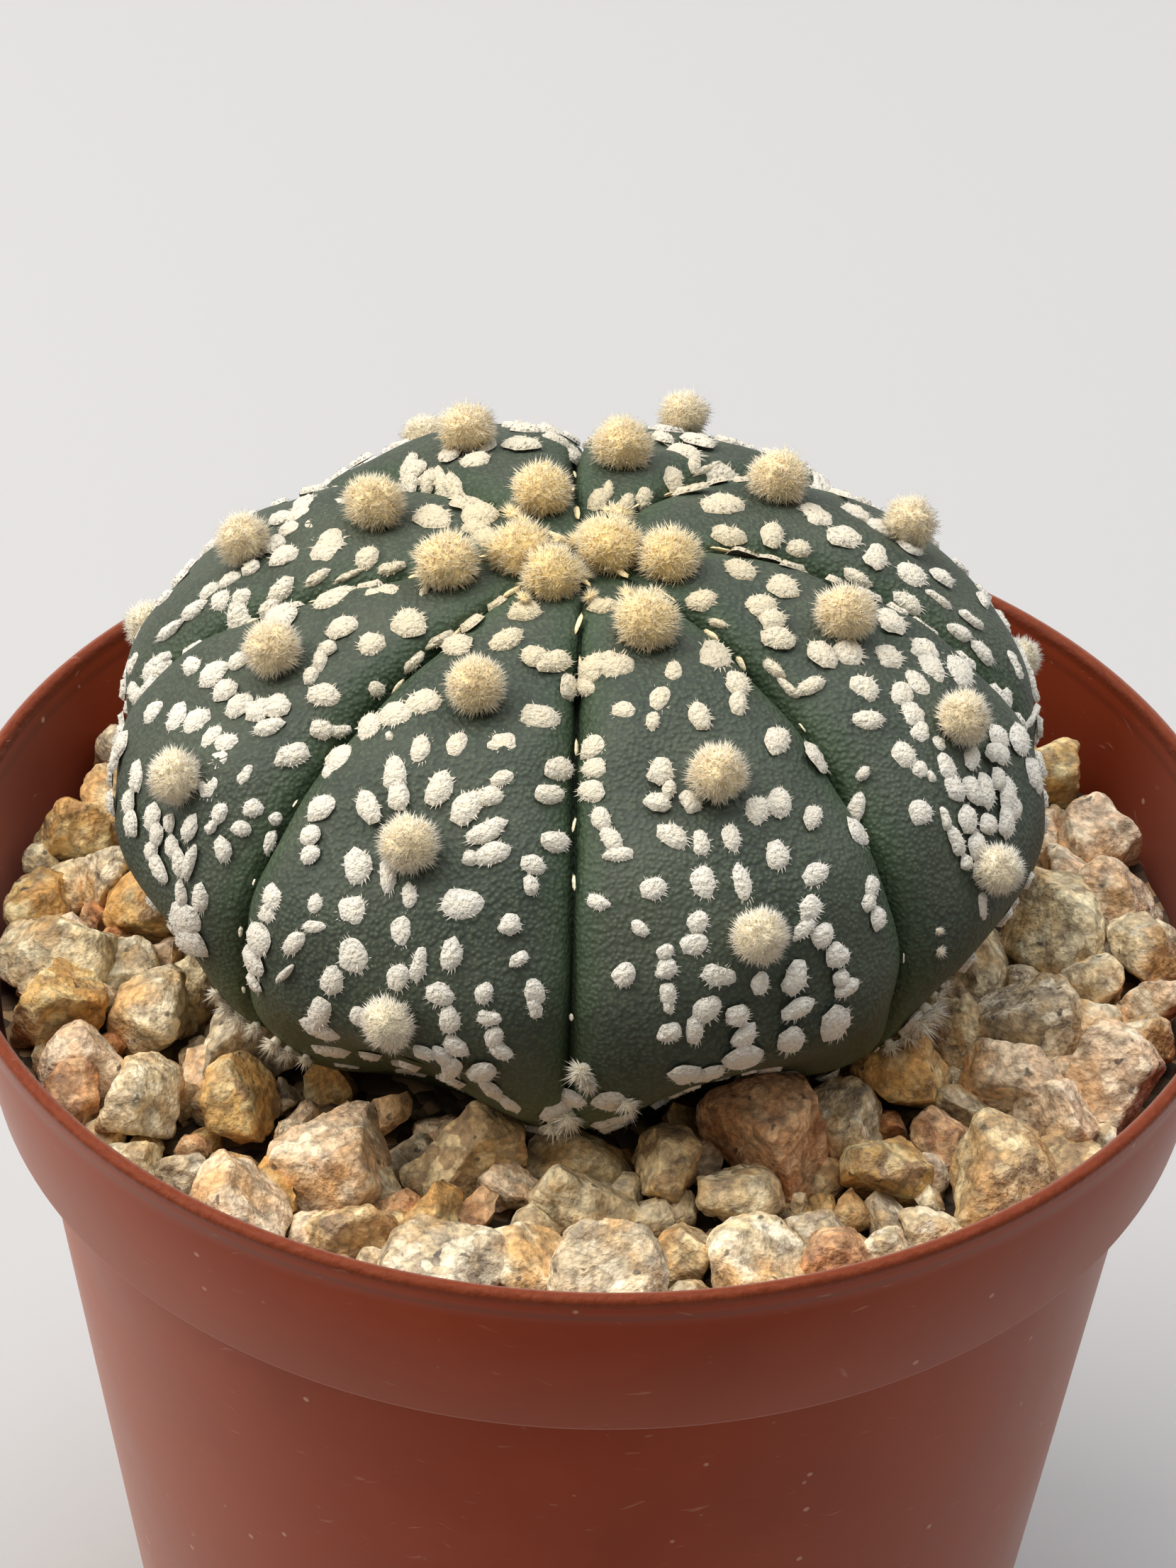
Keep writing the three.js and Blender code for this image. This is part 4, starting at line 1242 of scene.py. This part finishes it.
# %% White wool, matted flat
white_wool, shader, place = new_material("plant_wool_matted_white")
tip_mark = add_node(white_wool, "Attribute", attribute_name="tip", out="Fac")
white_colour = add_node(
    white_wool, "ValToRGB", tip_mark, ramp=[(0.0, "#cfcbc3"), (0.6, "#e4e0d7"), (1.0, "#e6dfcf")]
)
age_mark = add_node(white_wool, "Attribute", attribute_name="age", out="Fac")
bleach = add_node(
    white_wool, "ValToRGB", age_mark, ramp=[(0.15, "#ece0bf"), (0.45, "#f7f0de"), (0.75, "#fefcf6")]
)
white_colour = add_node(
    white_wool, "Mix", 1.0, white_colour, bleach, data_type="RGBA", blend_type="MULTIPLY"
)
mat = add_node(white_wool, "TexNoise", place, Scale=per_metre(0.22), Detail=4.0)
white_bump = add_node(white_wool, "Bump", Height=mat, Strength=1.0, Distance=0.3 * MM)
set_inputs(shader, Base_Color=white_colour, Normal=white_bump, Roughness=0.95)
set_inputs(shader, Specular_IOR_Level=0.15, Sheen_Weight=0.25)
finish_piece(white_flecks, white_wool, "cactus_skin", "cactus")

# %% [markdown]
# ## Wool in the furrows
#
# Small cream scraps lie along the bottom of each furrow, close together near the crown and
# fewer further down. Where a furrow meets the gravel the old wool has pulled out into white
# bunches of long hairs. Between the balls on the crown new wool fills every gap.

# %% Model two bunches of long hairs
HAIRS_PER_BUNCH = 130
bunch_masters = []
for number in range(2):
    draw = chance(77001 + number)
    start_clean()
    bpy.ops.mesh.primitive_ico_sphere_add(subdivisions=2, radius=0.34)
    heart = bpy.context.object
    parts = [(marked(mesh_arrays(heart), tip=0.4), np.eye(4), {})]
    for _ in range(HAIRS_PER_BUNCH):
        up = draw(0.05, 1)
        around = draw(0, math.tau)
        flat = math.sqrt(1 - up * up)
        along = np.array([flat * math.cos(around), flat * math.sin(around), 0.55 * up])
        parts.append(placed_hair(unit(along) * 0.22, along, 0.045, draw(0.4, 0.85)))
    bunch = placed_copies("bunch_master", parts)
    bunch_masters.append(mesh_arrays(bunch))
    drop(bunch, heart)
print("bunches:", [len(arrays[2]) for arrays in bunch_masters], "faces")

# %% Lay wool along the furrows and at the feet of those behind
FURROW_BOTTOM = 0.999
FURROW_SIDE = 0.985
FURROW_WOOL_FROM = 2.2
FURROW_WOOL_TO = 40
FURROW_WOOL_GAP = (1.8, 7)
NEW_WOOL_TO = 22
FURROWS_IN_FRONT = (0, 1, 2)
FOOT_BUNCHES = 3
FOOT_ZONE = (38, 42)
BUNCH_WIDTHS = (1.6, 2.6)

wool_scraps = []


def set_bunch(master, place, direction, spread):
    """Lays a bunch of long hairs on the skin."""
    wool_scraps.append(scrap(master, place, direction, spread, spread, 0.8 * spread, 0.1))


draw = chance(5150)
for furrow in range(RIBS):
    distance = FURROW_WOOL_FROM
    while distance < FURROW_WOOL_TO:
        _, down, _, over = skin_frame(furrow, -FURROW_BOTTOM, distance)
        near_crown = 1 - min(distance / NEW_WOOL_TO, 1)
        length = draw(0.3, 0.7) + 0.9 * near_crown
        width = draw(0.14, 0.24) + 0.16 * near_crown
        rib_number, side = (furrow - 1, FURROW_SIDE) if draw() < 0.5 else (furrow, -FURROW_SIDE)
        place = (rib_number % RIBS, side, distance)
        lean = down + over * draw(-0.3, 0.3) * (1 + near_crown)
        master = one_of(fleck_masters, draw)
        lift = 0.1 + 0.1 * near_crown
        wool_scraps.append(scrap(master, place, lean, length, width, 0.8 * width, lift))
        distance += length * 0.8 + draw(*FURROW_WOOL_GAP) * (1.2 - near_crown)
    if furrow not in FURROWS_IN_FRONT:
        for _ in range(FOOT_BUNCHES):
            distance = draw(*FOOT_ZONE)
            _, down, _, over = skin_frame(furrow, -FURROW_BOTTOM, distance)
            spread = draw(*BUNCH_WIDTHS)
            master = one_of(bunch_masters, draw)
            place = (furrow, draw(-0.99, -0.9), distance)
            set_bunch(master, place, down + over * draw(-1, 1), spread)
print("wool along the furrows:", len(wool_scraps))

# %% Lay the bunches seen at the feet of the furrows in front
PIXELS_PER_MM = 26
# Each has its x, y and radius in pixels
FOOT_WOOL_SEEN = [
    (826, 1508, 26), (834, 1524, 20), (803, 1572, 26), (880, 1552, 22), (778, 1584, 20),
    (1294, 1440, 30), (1306, 1424, 26), (1318, 1404, 20), (1262, 1486, 18), (1276, 1456, 24),
    (300, 1404, 16), (316, 1424, 18), (334, 1446, 20), (353, 1464, 18), (374, 1486, 20),
    (398, 1508, 18), (420, 1522, 15), (1322, 1312, 9), (1325, 1342, 11), (1330, 1388, 13),
]

for x, y, reach in FOOT_WOOL_SEEN:
    place, _ = nearest_place(x, y)
    _, down, _, over = skin_frame(*place)
    master = one_of(bunch_masters, draw)
    lean = down + over * draw(-1, 1)
    set_bunch(master, place, lean, 2 * reach / PIXELS_PER_MM)
print("and with that at their feet:", len(wool_scraps))

# %% Fill the crown with new wool
CROWN_SCRAPS = 34
CROWN_ZONE = (0.4, 5.2)
CROWN_AGE = 0.1

for _ in range(CROWN_SCRAPS):
    distance = draw(*CROWN_ZONE)
    rib_number = one_of(range(RIBS), draw)
    here, down, out, over = skin_frame(rib_number, draw(-0.9, 0.9), distance)
    size = draw(0.6, 1.2)
    turn = draw(0, math.tau)
    along = down * math.cos(turn) + over * math.sin(turn)
    scale = (size * MM, size * draw(0.6, 0.9) * MM, size * 0.8 * MM)
    matrix = placing((here + 0.2 * size * out) * MM, along, np.cross(out, along), out, scale)
    wool_scraps.append((one_of(bunch_masters, draw), matrix, {"age": CROWN_AGE}))
furrow_wool = placed_copies("furrow_wool", wool_scraps)
finish_piece(furrow_wool, wool, "cactus_skin", "cactus")

# %% [markdown]
# ## The gravel
#
# The dressing is crushed granite, 3 to 7 mm across. A granite chip is a lump of crystals with
# a few broken faces and worn corners. Eight chips are modelled: a ball is cut by planes, made
# one even skin again, softened, and then roughened by its crystals.

# %% Model eight granite chips
CHIP_KINDS = 8
CHIP_CUTS = 8
CHIP_FACES = 1700
SMALL_CHIP_FACES = 130

crystals = solid_texture("VORONOI", 0.36)
lumps = solid_texture("CLOUDS", 0.7)
chip_masters = []
small_chip_masters = []
for number in range(CHIP_KINDS):
    draw = chance(5000 + 37 * number)
    start_clean()
    bpy.ops.mesh.primitive_ico_sphere_add(subdivisions=4, radius=1.12)
    chip = bpy.context.object
    bpy.ops.object.mode_set(mode="EDIT")
    for _ in range(CHIP_CUTS):
        up = draw(-1, 1)
        around = draw(0, math.tau)
        flat = math.sqrt(1 - up * up)
        normal = Vector((flat * math.cos(around), flat * math.sin(around), up))
        bpy.ops.mesh.select_all(action="SELECT")
        bpy.ops.mesh.bisect(
            plane_co=normal * draw(0.56, 0.84), plane_no=normal, use_fill=True, clear_outer=True
        )
    bpy.ops.object.mode_set(mode="OBJECT")
    chip.location = (5 * number, 0, 0)
    chip.scale = (1, draw(0.8, 0.98), draw(0.72, 0.92))
    bpy.ops.object.transform_apply(location=True, rotation=False, scale=True)
    modify(chip, "REMESH", mode="VOXEL", voxel_size=0.06)
    modify(chip, "SMOOTH", factor=0.5, iterations=1)
    for texture, strength in ((lumps, 0.12), (crystals, -0.11)):
        modify(
            chip, "DISPLACE", texture=texture, texture_coords="GLOBAL", strength=strength, mid_level=0.5
        )
    chip.location = (-5 * number, 0, 0)
    bpy.ops.object.transform_apply(location=True, rotation=False, scale=False)
    for face_count, masters in ((CHIP_FACES, chip_masters), (SMALL_CHIP_FACES, small_chip_masters)):
        modify(chip, "DECIMATE", ratio=face_count / triangle_count(chip))
        masters.append(mesh_arrays(chip))
    drop(chip)
print("chips:", [len(arrays[2]) for arrays in chip_masters + small_chip_masters], "faces")

# %% Large stones in sight, and the rule for the rest
CLEARANCE = 0.3
BED_TOP = POT_TOP - 6.5
STONE_SIZES = [2.9, 2.5, 2.1, 1.7]
STONE_TRIES = 320
# Stones overlap a little, stand on the bed by a share of their size, and rise by chance
STONE_OVERLAP = 0.7
STONE_STAND = 0.6
STONE_RISE = 0.9
# More of them are tried at the wall than elsewhere, and lean on it
WALL_LEAN = 1.3
WALL_REACH = 1.16
# None lies under the plant's foot
STONE_INNER = 16
FOOT_RADIUS = 18.5
PLANT_MARGIN = 0.4
# A stone that the body presses on lies deeper
UNDER_PLANT = 18
PRESSED_DOWN = 1.8
# The stones in sight in front of and beside the plant: x, y and half the width in mm, and kind
LARGE_STONES = [
    (-5.6, -17.5, 2.7, "tan"), (-12.2, -18.6, 2.9, "pink"), (-16.7, -14.5, 2.2, "ochre"),
    (-21.3, -15, 2.5, "cream"), (-0.1, -21.4, 2.6, "beige"), (-2.6, -25.4, 2.4, "cream"),
    (3.8, -18.4, 2.1, "tan"), (9, -16.2, 3.3, "rust"), (15.6, -10.9, 2.7, "ochre"),
    (14.6, -17.9, 2.3, "ochre"), (23, -13.5, 2.3, "pink"), (21.3, -6.8, 2.9, "grey"),
    (19.4, -18.9, 3.1, "tan"), (4.6, -24.4, 2.1, "tan"), (10.8, -22.3, 1.8, "grey"),
    (17.3, -15, 1.6, "rust"), (14.4, -24.4, 1.7, "cream"), (-10.9, -23.6, 2.1, "tan"),
    (-7.2, -22, 1.8, "ochre"), (26.4, 3.2, 2.6, "pink"), (25.2, -2.6, 2.1, "cream"),
    (25.6, 15.3, 2.4, "ochre"), (28.1, 9.4, 2.4, "pink"), (-27.1, 6.5, 2.1, "ochre"),
    (-28.2, 1.2, 2, "ochre"), (-24.8, 3.3, 2.2, "grey"), (-21.4, -7.9, 2.5, "cream"),
    (-24.5, -11.3, 2.2, "pink"), (-18.9, -19.6, 1.7, "grey"), (-23.6, -3.6, 1.9, "cream"),
    (26.8, -7.6, 2, "cream"),
]
STONE_KINDS = ["ochre", "tan", "grey", "pink", "rust", "cream", "beige"]
RIGHT_STONE_KINDS = ["pink", "cream", "beige", "pink", "tan", "cream", "pink"]
RIGHT_SIDE = 14
print("large stones:", len(LARGE_STONES))

# %% Lay the stones where the packed gravel has them
draw = chance(9203)
pick_kind = chance(618)


def stone_at(azimuth, radius, size):
    """A place on the bed, leaning on the wall where it would reach through it."""
    height = BED_TOP + STONE_STAND * size + STONE_RISE * draw()
    reach = min(radius, band_inside(height) - CLEARANCE - size * WALL_REACH)
    return reach * math.cos(azimuth), reach * math.sin(azimuth), height


def clear_of(others, x, y, margin, share):
    """Whether each other stone is further off than a margin and a share of its own size."""
    return all(math.hypot(x - other[0], y - other[1]) > margin + share * other[3] for other in others)


stones = []
for x, y, size, kind in LARGE_STONES:
    stones.append((*stone_at(math.atan2(y, x), math.hypot(x, y), size), size, kind))
for size in STONE_SIZES:
    for _ in range(STONE_TRIES):
        azimuth = math.tau * draw()
        share = min(1, WALL_LEAN * draw())
        radius = math.sqrt(mix(STONE_INNER**2, RIM_RADIUS**2, share))
        x, y, height = stone_at(azimuth, radius, size)
        from_plant = math.hypot(x - PLANT_AXIS[0], y - PLANT_AXIS[1])
        clear = clear_of(stones, x, y, STONE_OVERLAP * size, STONE_OVERLAP)
        if clear and from_plant > FOOT_RADIUS + PLANT_MARGIN * size:
            kinds = RIGHT_STONE_KINDS if x > RIGHT_SIDE else STONE_KINDS
            stones.append((x, y, height, size, one_of(kinds, pick_kind)))
stones = [
    (x, y, height - PRESSED_DOWN * (math.hypot(x, y) < UNDER_PLANT), size, kind)
    for x, y, height, size, kind in stones
]
print("stones:", len(stones))

# %% Fill the gaps with smaller chips, lower down
FILLER_TRIES = 2200
FILLER_SIZES = (0.9, 1.6)
FILLER_INNER = 14
FILLER_FOOT_RADIUS = 17.5
FILLER_REACH = 1.2
# How near a filler comes to a stone, by shares of both sizes, and to another filler
NEAR_STONE = (0.6, 0.5)
NEAR_FILLER = 0.72

draw = chance(2468)
fillers = []
for _ in range(FILLER_TRIES):
    size = draw(*FILLER_SIZES)
    azimuth = draw(0, math.tau)
    height = BED_TOP + draw(0.3, 1.4)
    farthest = band_inside(height) - CLEARANCE - FILLER_REACH * size
    radius = math.sqrt(draw(FILLER_INNER**2, farthest**2))
    x, y = radius * math.cos(azimuth), radius * math.sin(azimuth)
    from_plant = math.hypot(x - PLANT_AXIS[0], y - PLANT_AXIS[1])
    clear = clear_of(stones, x, y, NEAR_STONE[0] * size, NEAR_STONE[1])
    clear_of_fillers = clear_of(fillers, x, y, NEAR_FILLER * size, NEAR_FILLER)
    if clear and clear_of_fillers and from_plant > FILLER_FOOT_RADIUS:
        fillers.append((x, y, height, size, one_of(STONE_KINDS, draw)))
print("fillers:", len(fillers))

# %% [markdown]
# ## Granite
#
# Granite is a mass of grains about 0.8 mm wide: cream or pink feldspar, clear grey quartz and
# a few black flakes of mica, with rust where iron has weathered. Every chip shows them in its
# own proportions, so each kind of chip is one material with its own colours for the grains.


# %% Granite in seven mixtures
def granite(name, feldspar, pale, quartz, stain, stain_share, mosaic):
    """Crystal grains in the given colours, with rust in some places and black flakes."""
    material, shader, place = new_material("granite_chipped_" + name)
    wander = add_node(material, "TexNoise", place, Scale=per_metre(0.8), Detail=5.0, out="Color")
    bent = add_node(
        material, "VectorMath", wander, (MM, MM, MM), place, operation="MULTIPLY_ADD"
    )
    grains = add_node(material, "TexVoronoi", bent, Scale=per_metre(0.8))
    grain_pick = add_node(material, "SeparateColor", grains.node.outputs["Color"])
    grain_colour = add_node(
        material, "ValToRGB", grain_pick,
        ramp=[(0.0, quartz), (0.24, quartz), (0.34, feldspar), (0.6, feldspar), (0.72, pale)]
    )
    cloud = add_node(material, "TexNoise", bent, Scale=per_metre(1.8), Detail=5.0)
    ground = add_node(material, "ValToRGB", cloud, ramp=[(0.36, quartz), (0.5, feldspar), (0.64, pale)])
    grain_colour = add_node(material, "Mix", 1 - mosaic, grain_colour, ground, data_type="RGBA")
    rust_noise = add_node(material, "TexNoise", place, Scale=per_metre(3.2), Detail=5.0)
    rust_here = add_node(
        material, "MapRange", rust_noise, 0.62 - 0.4 * stain_share, 0.78 - 0.4 * stain_share, 0.0, 0.85
    )
    colour = add_node(material, "Mix", rust_here, grain_colour, stain, data_type="RGBA")
    fine = add_node(material, "TexNoise", place, Scale=per_metre(0.35), Detail=4.0)
    shade = add_node(material, "MapRange", fine, 0.3, 0.7, 0.62, 1.24)
    colour = add_node(material, "VectorMath", colour, shade, operation="SCALE")
    # Painted shade: the colour darkens towards the borders of the grains, as in the crevices between them
    grain_border_painted_shade = add_node(material, "MapRange", grains, 0.4, 0.8, 1.04, 0.6)
    colour = add_node(material, "VectorMath", colour, grain_border_painted_shade, operation="SCALE")
    flakes = add_node(material, "TexVoronoi", bent, Scale=per_metre(1.5))
    flake_here = add_node(material, "MapRange", flakes, 0.14, 0.09, 0.0, 0.8)
    colour = add_node(material, "Mix", flake_here, colour, "#4a4238", data_type="RGBA")
    relief = add_node(
        material, "Math", fine, -0.9, grain_pick.node.outputs["Green"], operation="MULTIPLY_ADD"
    )
    bump = add_node(material, "Bump", invert=True, Height=relief, Strength=0.95, Distance=0.3 * MM)
    rough = add_node(material, "MapRange", grain_pick, 0.0, 0.5, 0.55, 0.8)
    set_inputs(shader, Base_Color=colour, Normal=bump, Roughness=rough, IOR=1.45)
    return material


# %% Colours of feldspar, pale grains, quartz and rust, then the shares of rust and of clear grains
GRANITES = {
    "ochre": ("#dbb26c", "#f2dfab", "#a08260", "#cf9850", 0.38, 0.5),
    "tan": ("#d2b07c", "#f2dcac", "#987e60", "#c8975a", 0.33, 0.55),
    "grey": ("#cfb994", "#f3e4c4", "#a09078", "#cfa262", 0.22, 0.7),
    "pink": ("#eecaa1", "#ffecca", "#c6aa8c", "#e2b279", 0.28, 0.55),
    "rust": ("#d09c6c", "#edc494", "#9a7254", "#bd7842", 0.35, 0.5),
    "cream": ("#ebd3a5", "#fdf0d0", "#c0a988", "#dcaa68", 0.33, 0.55),
    "beige": ("#ddc394", "#f5e6bd", "#ae987a", "#d3a562", 0.3, 0.55),
}

# %% Place the chips, one piece for each kind
draw = chance(1357)
chips_by_kind = {kind: [] for kind in GRANITES}
for masters, group in ((chip_masters, stones), (small_chip_masters, fillers)):
    for x, y, height, size, kind in group:
        axes = turned(draw)
        stretch = [size * draw(1.0, 1.17) * MM for _ in range(3)]
        master = one_of(masters, draw)
        matrix = placing(np.array([x, y, height]) * MM, *axes, stretch)
        chips_by_kind[kind].append((master, matrix, {}))
for kind, copies in chips_by_kind.items():
    chips = placed_copies("gravel_" + kind, copies)
    finish_piece(chips, granite(kind, *GRANITES[kind]), "gravel_stone", "gravel", crease=58)

# %% [markdown]
# ## Grit under the stones
#
# Between the stones the eye meets dark, fine grit in deep shade. A disc with a hole for the
# plant is cut into a fine net and pushed up and down by noise.

# %% Rough bed of grit
BED_INNER = 10
BED_REACH = 29.9
BED_HEIGHT = BED_TOP + 0.2
BED_SIDES = 120
BED_RINGS = 24

start_clean()
bpy.ops.mesh.primitive_circle_add(
    vertices=BED_SIDES, radius=BED_INNER * MM, location=(0, 0, BED_HEIGHT * MM)
)
bed = bpy.context.object
bed.name = "gravel_bed"
bpy.ops.object.transform_apply(location=True, rotation=True, scale=True)
bpy.ops.object.mode_set(mode="EDIT")
bpy.ops.mesh.select_all(action="SELECT")
bpy.ops.mesh.select_mode(type="EDGE")
bpy.ops.mesh.select_all(action="SELECT")
for ring_number in range(BED_RINGS):
    now = mix(BED_INNER, BED_REACH, ring_number / BED_RINGS)
    after = mix(BED_INNER, BED_REACH, (ring_number + 1) / BED_RINGS)
    bpy.ops.mesh.extrude_region_move()
    bpy.ops.transform.resize(value=(after / now, after / now, 1))
bpy.ops.mesh.select_all(action="SELECT")
bpy.ops.mesh.normals_make_consistent(inside=False)
bpy.ops.object.mode_set(mode="OBJECT")
modify(
    bed, "DISPLACE", texture=solid_texture("CLOUDS", 1.2 * MM), texture_coords="GLOBAL", strength=1.4 * MM,
    mid_level=0.6,
)

grit, shader, place = new_material("granite_grit_in_shade")
specks = add_node(grit, "TexVoronoi", place, Scale=per_metre(0.9))
speck_pick = add_node(grit, "SeparateColor", specks.node.outputs["Color"])
grit_colour = add_node(
    grit, "ValToRGB", speck_pick, ramp=[(0.0, "#2c2117"), (0.6, "#574430"), (1.0, "#9c7f59")]
)
grit_bump = add_node(grit, "Bump", invert=True, Height=specks, Strength=0.8, Distance=0.5 * MM)
set_inputs(shader, Base_Color=grit_colour, Normal=grit_bump, Roughness=0.9)
finish_piece(bed, grit, "gravel_stone", "gravel")

# %% [markdown]
# ## Floor and light
#
# The pot stands on plain pale paper, in soft light from large panels above and at both sides,
# with the camera's side left dimmer, so that the satin wall is dark in front and pale at its
# edges.

# %% Pale paper floor
start_clean()
bpy.ops.mesh.primitive_plane_add(size=6)
floor = bpy.context.object
floor.name = "paper_floor"
paper, shader, place = new_material("paper_matt")
set_inputs(shader, Base_Color="#adacab", Roughness=0.9)
floor.data.materials.append(paper)
floor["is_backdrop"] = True

# %% Soft panels, and a surround that is dimmer on the camera's side
world = bpy.data.worlds.new("pale room")
world.use_nodes = True
bpy.context.scene.world = world
sky = add_node(world, "TexCoord", out="Generated")
sky_depth = add_node(world, "SeparateXYZ", sky, out="Y")
away = add_node(world, "MapRange", sky_depth, -0.7, 0.5, 0.36, 0.7)
set_inputs(world.node_tree.nodes["Background"], Color="#f4f2ee", Strength=away)


def panel(name, place, width, height, power, colour="#ffffff"):
    """A rectangular light that faces the plant."""
    light = bpy.data.lights.new(name, "AREA")
    light.shape = "RECTANGLE"
    light.size = width
    light.size_y = height
    light.energy = power
    light.color = linear(colour)[:3]
    lamp = bpy.data.objects.new(name, light)
    bpy.context.collection.objects.link(lamp)
    lamp.location = place
    aim = Vector((0, 0, 0.05)) - Vector(place)
    lamp.rotation_euler = aim.to_track_quat("-Z", "Y").to_euler()
    print(name, "of", power, "watts")


panel("left panel", (-0.6, 0.0, 0.5), 0.5, 0.5, 4.1, "#fff8ef")
panel("right panel", (0.4, 0.25, 0.7), 0.5, 0.5, 2.3, "#e6edff")
panel("top panel", (-0.2, 0.1, 0.85), 0.8, 0.8, 7.3)
bpy.context.scene.view_settings.view_transform = "Standard"

# %% Check the sizes and finish
visual_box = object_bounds()
for name, box in (("packed", cad_box), ("dressed", visual_box)):
    print(name, "size in mm:", [round((high - low) / MM, 2) for low, high in zip(*box)])
[[list(corner) for corner in box] for box in (cad_box, visual_box)]
